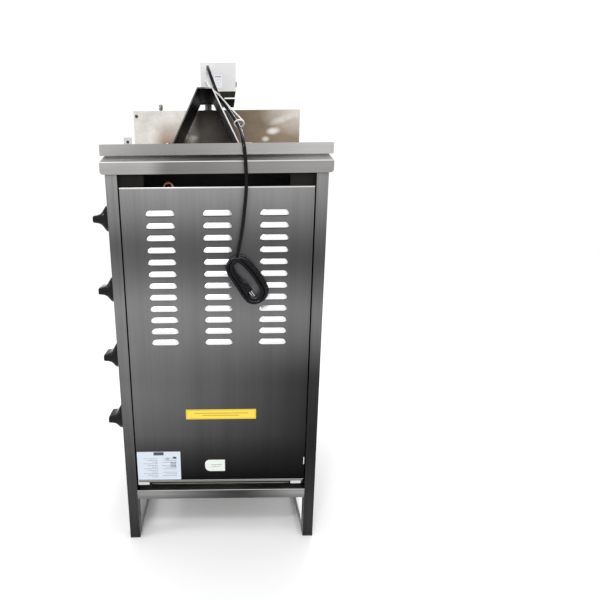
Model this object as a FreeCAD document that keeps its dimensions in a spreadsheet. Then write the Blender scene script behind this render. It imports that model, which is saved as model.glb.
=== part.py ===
import FreeCAD, Part
import math
import os
import re

import Sketcher

# A vertical rotisserie broiler: four gas burners stand one above the other in a narrow tower,
# a spit turns in front of them over a drip pan, and the spit's motor hangs from a bent bridge
# on the tower's table top.  Millimetres, +Z up, the cook stands on the -Y side, the gas knobs
# are on the +X side, and the origin is on the floor under the middle of the machine.

DIMENSIONS = {
    # frame of square tube
    "body_wide": 565, "rear_face": 280, "front_end": 280, "post_side": 30, "tube_wall": 1.5,
    "pad_tall": 3, "tower_deep": 220, "rail_low": 139, "arm_rail_low": 200, "post_top": 1113,
    # sheet metal round the tower
    "sheet": 1.2, "flange": 15, "floor_sheet": 1.5, "panel_top": 1080, "baffle_back": 121.2,
    # louvred rear cover
    "cover_wide": 497, "cover_low": 202, "cover_high": 1055, "slot_long": 77, "slot_tall": 14,
    "slot_proud": 6, "slot_pitch": 31.75, "slot_first": 641, "slot_rows": 12, "column_step": 147.5,
    "tab_wide": 34, "tab_place": 228, "bracket_low": 1036, "bracket_inner": 188,
    # crown and table top
    "crown_low": 1086, "crown_high": 1115, "ledge_in": 12, "table_low": 1131, "table_high": 1157.5,
    "crown_wide": 583, "crown_rear": 292, "crown_front": 48, "crown_sheet": 2, "table_corner": 13,
    # polished heat shield that stands on the table top
    "shield_wide": 484, "shield_face": 62, "shield_high": 1272, "shield_foot": 9,
    # motor bridge, riser and drive plate
    "spit_out": 27, "spit_front": -70, "bridge_rear": 260, "bridge_deep": 188, "bridge_top": 38,
    "bridge_span": 170, "bridge_high": 1291, "bridge_sheet": 3, "bridge_foot": 25, "bolt_size": 6,
    "plate_low": 1316, "plate_high": 1319, "riser_wide": 30, "riser_rear": 131,
    # spur gears: 12 teeth drive 38 teeth
    "gear_module": 1.25, "pinion_teeth": 12, "wheel_teeth": 38, "gear_low": 1323, "gear_thick": 10,
    "housing_high": 1349, "lid_high": 1353, "can_round": 42.5, "can_high": 1415,
    # control box
    "box_rear": 77, "box_front": -7, "box_left": 44, "box_right": -55, "box_high": 1393,
    "box_sheet": 1.5, "gland_out": 23, "gland_up": 1371, "gland_long": 26,
    "switch_long": 19, "switch_tall": 13, "switch_back": 30, "switch_drop": 46.5, "switch_deep": 22,
    "switch_pin": 1.5, "wire_side": 7, "wire_drop": 28,
    # gas train and burners
    "valve_first": 388, "valve_step": 195.5, "valve_back": 223, "burner_wide": 330,
    "burner_tall": 176, "burner_front": 64, "burner_back": 120, "tile_thick": 13, "stem_round": 4,
    "valve_inner": 228, "valve_outer": 268, "venturi_round": 19, "venturi_end": 200,
    "injector_out": 118, "tube_round": 4, "riser_out": 141, "loop_tall": 80, "manifold_side": 20,
    "inlet_end": 120, "inlet_back": 236,
    # gas knobs
    "knob_round": 35, "knob_skirt": 17, "knob_dome": 15, "knob_bar": 60, "knob_thick": 17,
    "knob_out": 330, "knob_in": 286, "bezel_round": 30, "bezel_thick": 2,
    # spit
    "spit_side": 12, "spit_low": 229, "spit_high": 1290, "pivot_round": 5, "pivot_low": 205,
    "lower_disc": 110, "lower_disc_low": 262, "upper_disc": 75, "upper_disc_low": 900,
    "disc_thick": 4, "running_gap": 0.05, "sliding_gap": 0.1,
    # pivot arm, drip pan
    "arm_low": 215, "arm_thick": 8, "arm_wide": 40, "pan_half": 246, "pan_front": -262,
    "pan_rear": 40, "pan_low": 147.1, "pan_high": 197, "handle_reach": 292, "handle_rod": 4,
    # wings
    "hinge_out": 270, "hinge_front": 50, "hinge_pin": 3, "wing_low": 240, "wing_high": 1060,
    "wing_front": -190, "wing_rear": 40, "wing_face": 276, "lug_low": 300, "lug_step": 700,
    "grip_out": 331.5, "grip_low": 600, "grip_high": 700, "grip_front": -150, "grip_rod": 5,
    # power cord, 9 mm, and the thin wire that takes its pull
    "cord_round": 4.5, "coil_round": 12.5, "coil_end": 22, "coil_straight": 76, "coil_out": -73,
    "coil_back": 301.5, "coil_up": 817, "coil_tilt": 55, "wire_round": 1.75, "ring_round": 12,
    "ring_out": -58, "ring_back": 245.4, "ring_up": 1208.8, "plug_out": -70.5, "plug_back": 303,
    "plug_up": 800, "plug_long": 34, "plug_wide": 24, "plug_thick": 20, "blade_long": 18,
    "blade_wide": 6.3, "blade_thick": 1.6, "blade_gap": 12.7,
}

doc = FreeCAD.newDocument("rotisserie_broiler")
dims = doc.addObject("Spreadsheet::Sheet", "dims")
for row, (alias, size) in enumerate(DIMENSIONS.items(), 1):
    dims.set(f"A{row}", alias)
    dims.set(f"B{row}", str(size))
    dims.setAlias(f"B{row}", alias)
doc.recompute()

parts = {}
Vector = FreeCAD.Vector
TURNS = {
    "x": FreeCAD.Rotation(Vector(0, 1, 0), 90),
    "y": FreeCAD.Rotation(Vector(1, 0, 0), -90),
    "z": FreeCAD.Rotation(),
}

# places that several pieces share, as formulas over the driving dimensions
HALF = "body_wide / 2"
INNER = "(body_wide / 2 - post_side)"
POST_FRONT = "(rear_face - post_side)"
TOWER_FRONT = "(rear_face - tower_deep)"
BEHIND_FRONT_POST = "(rear_face - tower_deep + post_side)"
RAIL_TOP = "(rail_low + post_side)"
FLOOR_TOP = "(rail_low + post_side + floor_sheet)"
WHEEL_ROUND = "(gear_module * wheel_teeth / 2)"
PINION_ROUND = "(gear_module * pinion_teeth / 2)"
MOTOR_OUT = f"(spit_out - {WHEEL_ROUND} - {PINION_ROUND})"
BURNERS = range(4)


# ---------------------------------------------------------------- helpers

def bound(text):
    """A formula over the dimension names, as an expression over the sheet's cells."""
    return re.sub(r"[a-z]\w+", lambda word: "dims." * (word[0] in DIMENSIONS) + word[0], str(text))


def value(text):
    """The number that a formula over the dimension names gives now."""
    result = dims.evalExpression(bound(text))
    return float(getattr(result, "Value", result))


def place(solid, at, turn=None):
    """Binds a solid's position to formulas, after an optional turn."""
    if turn:
        solid.Placement = FreeCAD.Placement(Vector(), turn)
    for letter, text in zip("xyz", at):
        solid.setExpression(f"Placement.Base.{letter}", bound(text))
    return solid


def block(name, x, y, z):
    """A box between the low and high formulas of each axis."""
    solid = doc.addObject("Part::Box", name)
    for side, (low, high) in zip(("Length", "Width", "Height"), (x, y, z)):
        solid.setExpression(side, bound(f"({high}) - ({low})"))
    return place(solid, (x[0], y[0], z[0]))


def rod(name, along, at, radius, length):
    """A cylinder that starts at a point and runs along an axis."""
    solid = doc.addObject("Part::Cylinder", name)
    solid.setExpression("Radius", bound(radius))
    solid.setExpression("Height", bound(length))
    return place(solid, at, TURNS[along])


def cone(name, along, at, first, last, length):
    """A cone frustum that starts at a point and runs along an axis."""
    solid = doc.addObject("Part::Cone", name)
    solid.setExpression("Radius1", bound(first))
    solid.setExpression("Radius2", bound(last))
    solid.setExpression("Height", bound(length))
    return place(solid, at, TURNS[along])


def fuse(name, *solids):
    joined = doc.addObject("Part::MultiFuse", name)
    joined.Shapes = list(solids)
    return joined


def cut(name, base, *tools):
    result = doc.addObject("Part::Cut", name)
    result.Base = base
    result.Tool = tools[0] if len(tools) == 1 else fuse(name + "_tools", *tools)
    return result


def group(name, solids):
    """Separate solids that are kept together as one sub-part."""
    together = doc.addObject("Part::Compound", name)
    together.Links = list(solids)
    return together


def shaped(name, shape, at=("0", "0", "0"), turn=None):
    """A solid made with Part's own functions, set at its place."""
    solid = doc.addObject("Part::Feature", name)
    solid.Shape = shape
    return place(solid, at, turn)


def keep(name, solid):
    """Names a finished sub-part and lists it for export."""
    solid.Label = name
    parts[name] = solid
    return solid


def both(make):
    """The +X and the -X copy of a piece."""
    return [make("left", 1), make("right", -1)]


def across(side, low, high):
    """An X range on the +X side, or its mirror image on the -X side."""
    return (low, high) if side > 0 else (f"-({high})", f"-({low})")


def origin_part(body, role):
    return next(item for item in body.Origin.OriginFeatures if item.Role == role)


def outline(body, name, plane, points, offset="0"):
    """A closed sketch whose corners are bound to formulas."""
    sketch = body.newObject("Sketcher::SketchObject", name)
    sketch.AttachmentSupport = [(origin_part(body, plane), "")]
    sketch.MapMode = "FlatFace"
    sketch.setExpression("AttachmentOffset.Base.z", bound(offset))
    corners = [Vector(value(x), value(y), 0) for x, y in points]
    for start, end in zip(corners, corners[1:] + corners[:1]):
        sketch.addGeometry(Part.LineSegment(start, end), False)
    for index in range(len(corners)):
        following = (index + 1) % len(corners)
        sketch.addConstraint(Sketcher.Constraint("Coincident", index, 2, following, 1))
    for index, (texts, corner) in enumerate(zip(points, corners)):
        for kind, text, size in (("DistanceX", texts[0], corner.x), ("DistanceY", texts[1], corner.y)):
            number = sketch.addConstraint(Sketcher.Constraint(kind, -1, 1, index, 1, size))
            sketch.setExpression(f"Constraints[{number}]", bound(text))
    return sketch


def pad(body, name, sketch, length, centred=False):
    feature = body.newObject("PartDesign::Pad", name)
    feature.Profile = sketch
    feature.Midplane = centred
    feature.setExpression("Length", bound(length))
    return feature


def padded(name, plane, points, length, at=("0", "0", "0"), centred=False):
    """A body of one padded outline."""
    body = doc.addObject("PartDesign::Body", name)
    pad(body, name + "_pad", outline(body, name + "_outline", plane, points), length, centred)
    return place(body, at)


def tube(name, along, x, y, z):
    """An open-ended square tube."""
    hollow = []
    for letter, (low, high) in zip("xyz", (x, y, z)):
        narrower = (f"{low} + tube_wall", f"{high} - tube_wall")
        hollow.append((low, high) if letter == along else narrower)
    return cut(name, block(name + "_outside", x, y, z), block(name + "_inside", *hollow))


def swept(path, radius):
    """A round tube or wire along straight runs and tangent arcs."""
    start = path.Edges[0]
    ring = Part.Wire([Part.Circle(start.firstVertex().Point, start.tangentAt(start.FirstParameter),
                                  radius).toShape()])
    return path.makePipeShell([ring], True, False)


def rounded_path(points, most=0.45):
    """Runs between points joined by tangent arcs as large as the shorter run allows."""
    points = [Vector(*point) for point in points]
    edges, radii, start = [], [], points[0]
    for before, corner, after in zip(points, points[1:], points[2:]):
        back, ahead = before - corner, after - corner
        reach = most * min(back.Length, ahead.Length)
        turn = math.pi - back.getAngle(ahead)
        first = corner + back.normalize() * reach
        last = corner + ahead.normalize() * reach
        radii.append(reach / math.tan(turn / 2))
        middle_way = ((first + last) * 0.5 - corner).normalize()
        middle = corner + middle_way * (radii[-1] / math.cos(turn / 2) - radii[-1])
        edges += [Part.LineSegment(start, first).toShape(), Part.Arc(first, middle, last).toShape()]
        start = last
    edges.append(Part.LineSegment(start, points[-1]).toShape())
    return Part.Wire(edges), radii


# ---------------------------------------------------------------- frame

def frame_tubes():
    def post(side_name, side, label, y, z):
        return tube(f"{label}_{side_name}", "z", across(side, INNER, HALF), y, z)

    rear = (POST_FRONT, "rear_face")
    front = (TOWER_FRONT, BEHIND_FRONT_POST)
    leg = ("-front_end", "post_side - front_end")
    rail = ("-front_end", POST_FRONT)
    floor_high = "pad_tall + post_side"
    keep("rear_posts", group("rear_posts", both(
        lambda name, side: post(name, side, "rear_post", rear, ("pad_tall", "post_top")))))
    keep("front_posts", group("front_posts", both(
        lambda name, side: post(name, side, "front_post", front, (RAIL_TOP, "post_top")))))
    keep("front_legs", group("front_legs", both(
        lambda name, side: post(name, side, "front_leg", leg, (floor_high, "rail_low")))))
    for label, low, high in (("floor_rail", "pad_tall", floor_high), ("pan_rail", "rail_low", RAIL_TOP)):
        keep(label + "s", group(label + "s", both(lambda name, side: tube(
            f"{label}_{name}", "y", across(side, INNER, HALF), rail, (low, high)))))
    crossing = (f"-{INNER}", INNER)
    keep("cross_rails", group("cross_rails", [
        tube("rear_cross_rail", "x", crossing, rear, ("rail_low", RAIL_TOP)),
        tube("arm_cross_rail", "x", crossing, front, ("arm_rail_low", "arm_rail_low + post_side")),
        tube("floor_cross_rail", "x", crossing, leg, ("pad_tall", floor_high))]))
    pads = [block(f"pad_{name}_{end}", across(side, INNER, HALF), y, ("0", "pad_tall"))
            for name, side in (("left", 1), ("right", -1))
            for end, y in (("rear", rear), ("front", leg))]
    keep("foot_pads", group("foot_pads", pads))


# ---------------------------------------------------------------- tower sheets

def side_panels():
    """Sheets between the posts, with a flange folded in at the front and at the rear."""
    low, high = BEHIND_FRONT_POST, POST_FRONT
    tall = f"panel_top - {FLOOR_TOP}"
    for name, side in (("left", "1"), ("right", "-1")):
        points = [(f"{side} * {x}", y) for x, y in (
            (f"({HALF})", low), (f"({HALF})", high), (f"({HALF} - flange)", high),
            (f"({HALF} - flange)", f"{high} - sheet"), (f"({HALF} - sheet)", f"{high} - sheet"),
            (f"({HALF} - sheet)", f"{low} + sheet"), (f"({HALF} - flange)", f"{low} + sheet"),
            (f"({HALF} - flange)", low))]
        if name == "right":
            points.reverse()
            keep("side_panel_right", padded("side_panel_right", "XY_Plane", points, tall,
                                            ("0", "0", FLOOR_TOP)))
            continue
        plain = padded("side_panel_plain", "XY_Plane", points, tall, ("0", "0", FLOOR_TOP))
        holes = [rod(f"stem_hole_{number}", "x", (f"{HALF} - 5", "valve_back", valve_height(number)),
                     "stem_round + 1.5", "10") for number in BURNERS]
        keep("side_panel_left", cut("side_panel_left", plain, *holes))


def rear_cover():
    """A sheet with folded top and bottom edges and three columns of scoops that open downwards."""
    body = doc.addObject("PartDesign::Body", "rear_cover")
    tall = "(cover_high - cover_low)"
    channel = [("0", "0"), ("0", tall), ("-flange", tall), ("-flange", f"{tall} - sheet"),
               ("-sheet", f"{tall} - sheet"), ("-sheet", "sheet"), ("-flange", "sheet"),
               ("-flange", "0")]
    pad(body, "cover_sheet", outline(body, "cover_outline", "YZ_Plane", channel), "cover_wide", True)
    middle = "(slot_first - cover_low)"
    top, bottom = f"{middle} + slot_tall / 2", f"{middle} - slot_tall / 2"
    hood = [("-sheet", bottom), ("slot_proud", bottom), ("0", top), ("-sheet", top)]
    hood_sketch = outline(body, "scoop_outline", "YZ_Plane", hood, "-column_step")
    scoop = pad(body, "scoop", hood_sketch, "slot_long", True)
    mouth = f"{bottom} - sheet"
    hollow = [("-2 * sheet", mouth), ("slot_proud - sheet", mouth), ("-sheet", f"{top} - sheet / 4"),
              ("-2 * sheet", f"{top} - sheet / 4")]
    pocket = body.newObject("PartDesign::Pocket", "scoop_hollow")
    pocket.Profile = outline(body, "hollow_outline", "YZ_Plane", hollow, "-column_step")
    pocket.Midplane = True
    pocket.setExpression("Length", bound("slot_long - 2 * sheet"))
    doc.recompute()
    pattern = body.newObject("PartDesign::MultiTransform", "scoops")
    pattern.Originals = [scoop, pocket]
    steps = []
    for label, axis, length, count in (("rows", "Z_Axis", "slot_pitch * (slot_rows - 1)", "slot_rows"),
                                       ("columns", "X_Axis", "2 * column_step", "3")):
        step = body.newObject("PartDesign::LinearPattern", "scoop_" + label)
        step.Direction = (origin_part(body, axis), [""])
        step.setExpression("Length", bound(length))
        step.Occurrences = int(value(count))
        steps.append(step)
    pattern.Transformations = steps
    body.Tip = pattern
    keep("rear_cover", place(body, ("0", "rear_face", "cover_low")))


def cover_brackets():
    """Two tabs under the cover and two plates beside the posts that its top edge leans on."""
    def tab(name, side):
        x = across(side, "tab_place - tab_wide / 2", "tab_place + tab_wide / 2")
        deep = ("rear_face - 30", "rear_face - 16")
        return fuse(f"tab_{name}", block(f"tab_foot_{name}", x, deep, (RAIL_TOP, f"{RAIL_TOP} + 2")),
                    block(f"tab_web_{name}", x, ("rear_face - 18", "rear_face - 16"),
                          (RAIL_TOP, "cover_low")),
                    block(f"tab_top_{name}", x, deep, ("cover_low - 2", "cover_low")))

    def plate(name, side):
        return block(f"bracket_{name}", across(side, "bracket_inner", INNER),
                     ("rear_face - flange - 2", "rear_face - flange"), ("bracket_low", "post_top"))

    solids = both(tab) + both(plate)
    holes = [rod(f"tab_hole_{name}", "z", (f"{side} * tab_place", "rear_face - 23", "cover_low - 5"),
                 "2", "8") for name, side in (("left", "1"), ("right", "-1"))]
    keep("cover_brackets", group("cover_brackets", [
        cut("tab_drilled_left", solids[0], holes[0]), cut("tab_drilled_right", solids[1], holes[1]),
        solids[2], solids[3]]))
    screws = []
    for name, side in (("left", "1"), ("right", "-1")):
        spot = (f"{side} * tab_place", "rear_face - 23")
        head = rod(f"screw_head_{name}", "z", (*spot, "cover_low - 5"), "4", "3")
        shank = rod(f"screw_shank_{name}", "z", (*spot, "cover_low - 2"), "2", "2")
        screws.append(fuse(f"screw_{name}", head, shank))
    keep("cover_screws", group("cover_screws", screws))


def inner_sheets():
    side = f"{HALF} - sheet"
    floor = block("floor_plain", ("-" + f"({HALF} - 12)", f"{HALF} - 12"),
                  (f"{BEHIND_FRONT_POST} + 2", f"{POST_FRONT} - 1"), (RAIL_TOP, FLOOR_TOP))
    inlet_hole = rod("inlet_hole", "z", ("valve_inner + 10", "inlet_back", f"{RAIL_TOP} - 2"), "14", "8")
    keep("tower_floor", cut("tower_floor", floor, inlet_hole))
    baffle = block("baffle_plain", (f"-({side})", side), ("burner_back", "baffle_back"),
                   (FLOOR_TOP, "panel_top"))
    holes = [rod(f"baffle_hole_{number}", "y", ("injector_out", "burner_back - 5", valve_height(number)),
                 "venturi_round", "12") for number in BURNERS]
    keep("heat_baffle", cut("heat_baffle", baffle, *holes))
    low, high = "arm_rail_low + post_side", "panel_top"
    edge = "burner_wide / 2"
    strips = []
    for name, x, lip in (("left", (f"spit_out + {edge}", INNER), (f"spit_out + {edge}",
                                                                f"spit_out + {edge} + sheet")),
                         ("right", (f"-{INNER}", f"spit_out - {edge}"), (f"spit_out - {edge} - sheet",
                                                                       f"spit_out - {edge}"))):
        face = block(f"reflector_face_{name}", x, ("burner_front", "burner_front + sheet"), (low, high))
        fold = block(f"reflector_fold_{name}", lip, ("burner_front", "burner_back"), (low, high))
        strips.append(fuse(f"reflector_{name}", face, fold))
    keep("front_reflectors", group("front_reflectors", strips))


# ---------------------------------------------------------------- crown

def crown():
    """A skirt with a ledge that leans inwards, and the closed table top that stands on it."""
    half = "crown_wide / 2"
    skirt = block("skirt", (f"-{half}", half), ("crown_front", "crown_rear"), ("crown_low", "crown_high"))
    rounded = doc.addObject("Part::Fillet", "skirt_rounded")
    rounded.Base = skirt
    doc.recompute()
    lower_edges = [number for number, edge in enumerate(skirt.Shape.Edges, 1)
                   if edge.BoundBox.ZMax < value("crown_low") + 1 and edge.BoundBox.XLength < 1]
    rounded.Edges = [(number, 8.0, 8.0) for number in lower_edges]
    slope = doc.addObject("Part::Wedge", "ledge")
    for side, text in (("Xmin", f"-{half}"), ("Xmax", half), ("X2min", f"ledge_in - {half}"),
                       ("X2max", f"{half} - ledge_in"), ("Zmin", "-crown_rear"), ("Zmax", "-crown_front"),
                       ("Z2min", "ledge_in - crown_rear"), ("Z2max", "-crown_front - ledge_in"),
                       ("Ymin", "crown_high"), ("Ymax", "table_low")):
        slope.setExpression(side, bound(text))
    slope.Placement = FreeCAD.Placement(Vector(), FreeCAD.Rotation(Vector(1, 0, 0), 90))
    band = fuse("crown_solid", rounded, slope)
    lip = f"({half} - crown_sheet)"
    hollow = block("crown_hollow", (f"-{lip}", lip), ("crown_front + crown_sheet",
                   "crown_rear - crown_sheet"), ("crown_low", "crown_high - crown_sheet"))
    inner = f"({half} - 30)"
    mouth = block("crown_mouth", (f"-{inner}", inner), ("crown_front + 30", "crown_rear - 30"),
                  ("crown_low", "table_low"))
    keep("crown_frame", cut("crown_frame", band, hollow, mouth))

    body = doc.addObject("PartDesign::Body", "table_solid")
    corners = [(f"-{half}", "crown_front"), (half, "crown_front"), (half, "crown_rear"),
               (f"-{half}", "crown_rear")]
    slab = pad(body, "table_pad", outline(body, "table_outline", "XY_Plane", corners),
               "table_high - table_low")
    doc.recompute()
    upright = [f"Edge{number}" for number, edge in enumerate(slab.Shape.Edges, 1)
               if edge.BoundBox.ZLength > 1]
    round_off = body.newObject("PartDesign::Fillet", "table_corners")
    round_off.Base = (slab, upright)
    round_off.setExpression("Radius", bound("table_corner"))
    body.Tip = round_off
    place(body, ("0", "0", "table_low"))
    inside = block("table_hollow", (f"-{lip}", lip), ("crown_front + crown_sheet",
                   "crown_rear - crown_sheet"), ("table_low + crown_sheet", "table_high - crown_sheet"))
    opening = block("table_mouth", (f"-{inner}", inner), ("crown_front + 30", "crown_rear - 30"),
                    ("table_low", "table_low + crown_sheet"))
    holes = [rod(f"table_hole_{number}", "z", (x, y, "table_high - 10"), "bolt_size / 2 + sliding_gap",
                 "20") for number, (x, y) in enumerate(bridge_bolt_spots())]
    keep("table_top", cut("table_top", body, inside, opening, *holes))

    half_shield = "shield_wide / 2"
    profile = [("0", "0"), ("shield_foot", "0"), ("shield_foot", "sheet"), ("sheet", "sheet"),
               ("sheet", "shield_high - table_high"), ("0", "shield_high - table_high")]
    keep("heat_shield", padded("heat_shield", "YZ_Plane", profile, "shield_wide",
                               (f"-{half_shield}", "shield_face - sheet", "table_high")))


# ---------------------------------------------------------------- motor bridge

def bridge_bolt_spots():
    """The four bolts, two in each foot of the bridge."""
    reach = "bridge_span / 2 + bridge_foot / 2"
    return [(f"spit_out {side} ({reach})", f"bridge_rear - {deep}")
            for side in "+-" for deep in ("20", "bridge_deep + 20")]


def motor_bridge():
    """A plate bent to an inverted V with a flat top and two feet."""
    rise = "(bridge_high - table_high - bridge_sheet)"
    lean = f"((bridge_span - bridge_top) / 2 / {rise})"
    slant = f"(sqrt(1 + {lean} * {lean}) * bridge_sheet)"
    half_top, half_span, tall = "(bridge_top / 2)", "(bridge_span / 2)", "(bridge_high - table_high)"
    inner_top = f"({half_top} + {lean} * bridge_sheet - {slant})"
    inner_foot = f"({half_span} + {lean} * bridge_sheet - {slant})"
    right = [(half_top, tall), (half_span, "bridge_sheet"),
             (f"{half_span} + bridge_foot", "bridge_sheet"), (f"{half_span} + bridge_foot", "0"),
             (inner_foot, "0"), (inner_top, f"{tall} - bridge_sheet")]
    left = [(f"-({x})", z) for x, z in reversed(right)]
    plain = padded("bridge_plain", "XZ_Plane", right + left, "bridge_deep",
                   ("spit_out", "bridge_rear", "table_high"))
    holes = [rod(f"foot_hole_{number}", "z", (x, y, "table_high - 5"), "bolt_size / 2 + sliding_gap",
                 "20") for number, (x, y) in enumerate(bridge_bolt_spots())]
    keep("motor_bridge", cut("motor_bridge", plain, *holes))
    bolts = []
    for number, (x, y) in enumerate(bridge_bolt_spots()):
        head = rod(f"bolt_head_{number}", "z", (x, y, "table_high + bridge_sheet"), "bolt_size * 0.85", "4")
        shank = rod(f"bolt_shank_{number}", "z", (x, y, "table_high - 6"), "bolt_size / 2",
                    "6 + bridge_sheet")
        bolts.append(fuse(f"bolt_{number}", head, shank))
    keep("bridge_bolts", group("bridge_bolts", bolts))
    half = "riser_wide / 2"
    keep("bridge_riser", block("bridge_riser", (f"spit_out - {half}", f"spit_out + {half}"),
                               ("bridge_rear - bridge_deep + 2", "riser_rear"),
                               ("bridge_high", "plate_low")))


def drive_plate():
    """The plate that carries the control box, the gears and the motor."""
    half = "bridge_top / 2"
    left, right = "(spit_out + 30)", "(box_right - 1)"
    points = [(f"spit_out - {half}", "riser_rear"), (f"spit_out - {half}", "spit_front + 45"),
              (right, "spit_front + 45"), (right, "spit_front - 76"),
              (f"{MOTOR_OUT} + 9", "spit_front - 76"), (f"{MOTOR_OUT} + 9", "spit_front - 28"),
              (left, "spit_front - 28"), (left, "spit_front + 45"),
              (f"spit_out + {half}", "spit_front + 45"), (f"spit_out + {half}", "riser_rear")]
    plain = padded("plate_plain", "XY_Plane", points, "plate_high - plate_low", ("0", "0", "plate_low"))
    hole = rod("plate_hole", "z", ("spit_out", "spit_front", "plate_low - 5"), "9", "20")
    keep("drive_plate", cut("drive_plate", plain, hole))


def control_box():
    x, y = ("box_right", "box_left"), ("box_front", "box_rear")
    high = "box_high - box_sheet"
    outside = block("box_outside", x, y, ("plate_high", high))
    inside = block("box_inside", *[(f"{low} + box_sheet", f"{top} - box_sheet") for low, top in (x, y)],
                   ("plate_high + box_sheet", high))
    spot = ("gland_out", "box_rear - 5", "gland_up")
    wire_spot = ("gland_out + wire_side", "box_rear - 5", "gland_up - wire_drop")
    level = "(box_high - switch_drop)"
    switch_y = ("switch_back - switch_long / 2", "switch_back + switch_long / 2")
    switch_z = (f"{level} - switch_tall / 2", f"{level} + switch_tall / 2")
    window = block("switch_window", ("box_right - 2", "box_right + 4"), switch_y, switch_z)
    shell = cut("box_shell", outside, inside, rod("gland_hole", "y", spot, "5", "10"),
                rod("wire_hole", "y", wire_spot, "wire_round", "10"), window)

    wall_in = "(box_right + box_sheet)"
    housing = block("switch_outside", (wall_in, f"{wall_in} + switch_deep"),
                    (f"{switch_y[0]} - 2", f"{switch_y[1]} + 2"),
                    (f"{switch_z[0]} - 3", f"{switch_z[1]} + 3"))
    hollow = block("switch_inside", (wall_in, f"{wall_in} + switch_deep - 3"), switch_y, switch_z)
    pin_spot = ("box_right + 3.5", "switch_back", f"{switch_z[0]} - 2")
    pin_bore = rod("switch_pin_bore", "z", pin_spot, "switch_pin + running_gap", "switch_tall + 4")
    keep("control_box", group("control_box", [shell, cut("switch_housing", housing, hollow, pin_bore)]))
    pin = rod("rocker_pin", "z", ("box_right + 3.5", "switch_back", f"{switch_z[0]} - 1.5"), "switch_pin",
              "switch_tall + 3")
    pad_block = block("rocker_pad", ("box_right - 4", "box_right + 8"),
                      (f"{switch_y[0]} + 1", f"{switch_y[1]} - 1"),
                      (f"{switch_z[0]} + 0.5", f"{switch_z[1]} - 0.5"))
    keep("rocker_switch", fuse("rocker_switch", pad_block, pin))

    keep("control_box_lid", block("control_box_lid", x, y, (high, "box_high")))
    nut = rod("gland_nut", "y", ("gland_out", "box_rear", "gland_up"), "8", "6")
    neck = rod("gland_neck", "y", ("gland_out", "box_rear - box_sheet", "gland_up"), "5", "box_sheet")
    boot = cone("gland_boot", "y", ("gland_out", "box_rear + 6", "gland_up"), "7", "5.5", "gland_long - 6")
    keep("cord_gland", fuse("cord_gland", neck, nut, boot))


def gear_shape(teeth, round_size, bore_solid, first_tooth):
    """A spur gear with straight-flanked teeth and generous backlash."""
    module = value("gear_module")
    pitch = 2 * math.pi / teeth
    corners = []
    for tooth in range(teeth):
        middle = first_tooth + tooth * pitch
        for share, radius in ((-0.30, -1.25), (-0.11, 0.75), (0.11, 0.75), (0.30, -1.25)):
            angle = middle + share * pitch
            reach = round_size + radius * module
            corners.append(Vector(reach * math.cos(angle), reach * math.sin(angle), 0))
    face = Part.Face(Part.makePolygon(corners + corners[:1]))
    return face.extrude(Vector(0, 0, value("gear_thick"))).fuse(bore_solid)


def gearbox():
    x = (f"{MOTOR_OUT} - 20", "spit_out + 28")
    y = ("spit_front - 28", "spit_front + 28")
    walls = block("housing_outside", x, y, ("plate_high", "housing_high"))
    within = [(f"{low} + crown_sheet", f"{top} - crown_sheet") for low, top in (x, y)]
    inside = block("housing_inside", *within, ("plate_high", "housing_high"))
    keep("gear_housing", cut("gear_housing", walls, inside))
    lid = block("lid_plain", ("box_right + 2", "spit_out + 29"), ("spit_front - 46", "spit_front + 45"),
                ("housing_high", "lid_high"))
    keep("gear_housing_lid", cut(
        "gear_housing_lid", lid,
        rod("lid_shaft_hole", "z", ("spit_out", "spit_front", "housing_high - 5"), "8", "20"),
        rod("lid_motor_hole", "z", (MOTOR_OUT, "spit_front", "housing_high - 5"), "5", "20")))
    can = rod("can_body", "z", (MOTOR_OUT, "spit_front", "lid_high"), "can_round", "can_high - lid_high - 8")
    cap = cone("can_cap", "z", (MOTOR_OUT, "spit_front", "can_high - 8"), "can_round", "can_round - 7", "8")
    bore = rod("can_bore", "z", (MOTOR_OUT, "spit_front", "lid_high - 1"), "4 + running_gap", "16")
    keep("motor_can", cut("motor_can", fuse("can_solid", can, cap), bore))

    shaft_spot = ("spit_out", "spit_front")
    lower = fuse("lower_bush_solid", rod("lower_bush_body", "z", (*shaft_spot, "plate_low"), "9", "5"),
                 rod("lower_bush_flange", "z", (*shaft_spot, "plate_high"), "12", "2"))
    upper = rod("upper_bush_body", "z", (*shaft_spot, "housing_high"), "8", "lid_high - housing_high")
    pivot = fuse("pivot_bush_solid", rod("pivot_bush_body", "z", (*shaft_spot, "arm_low"), "8", "arm_thick"),
                 rod("pivot_bush_flange", "z", (*shaft_spot, "arm_low + arm_thick"), "12", "4"))
    bushes = []
    for name, solid, low, radius in (("lower_bush", lower, "plate_low - 1", "6"),
                                     ("upper_bush", upper, "housing_high - 1", "6"),
                                     ("pivot_bush", pivot, "arm_low - 1", "pivot_round")):
        hole = rod(name + "_bore", "z", (*shaft_spot, low), f"{radius} + running_gap", "20")
        bushes.append(cut(name, solid, hole))
    keep("shaft_bushes", group("shaft_bushes", bushes))

    shaft_low = value("spit_high") + 7
    shaft = Part.makeCylinder(6, value("lid_high") - 1 - shaft_low,
                              Vector(0, 0, shaft_low - value("gear_low")))
    wheel = gear_shape(int(value("wheel_teeth")), value(WHEEL_ROUND), shaft,
                       math.pi * (1 + 1 / value("wheel_teeth")))
    keep("output_gear", shaped("output_gear", wheel, ("spit_out", "spit_front", "gear_low")))
    pinion_shaft = Part.makeCylinder(4, value("lid_high") + 13 - value("gear_low"))
    pinion = gear_shape(int(value("pinion_teeth")), value(PINION_ROUND), pinion_shaft, 0)
    keep("motor_pinion", shaped("motor_pinion", pinion, (MOTOR_OUT, "spit_front", "gear_low")))


# ---------------------------------------------------------------- spit

def square(name, side, low, high):
    half = f"({side}) / 2"
    return block(name, (f"spit_out - {half}", f"spit_out + {half}"),
                 (f"spit_front - {half}", f"spit_front + {half}"), (low, high))


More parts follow.
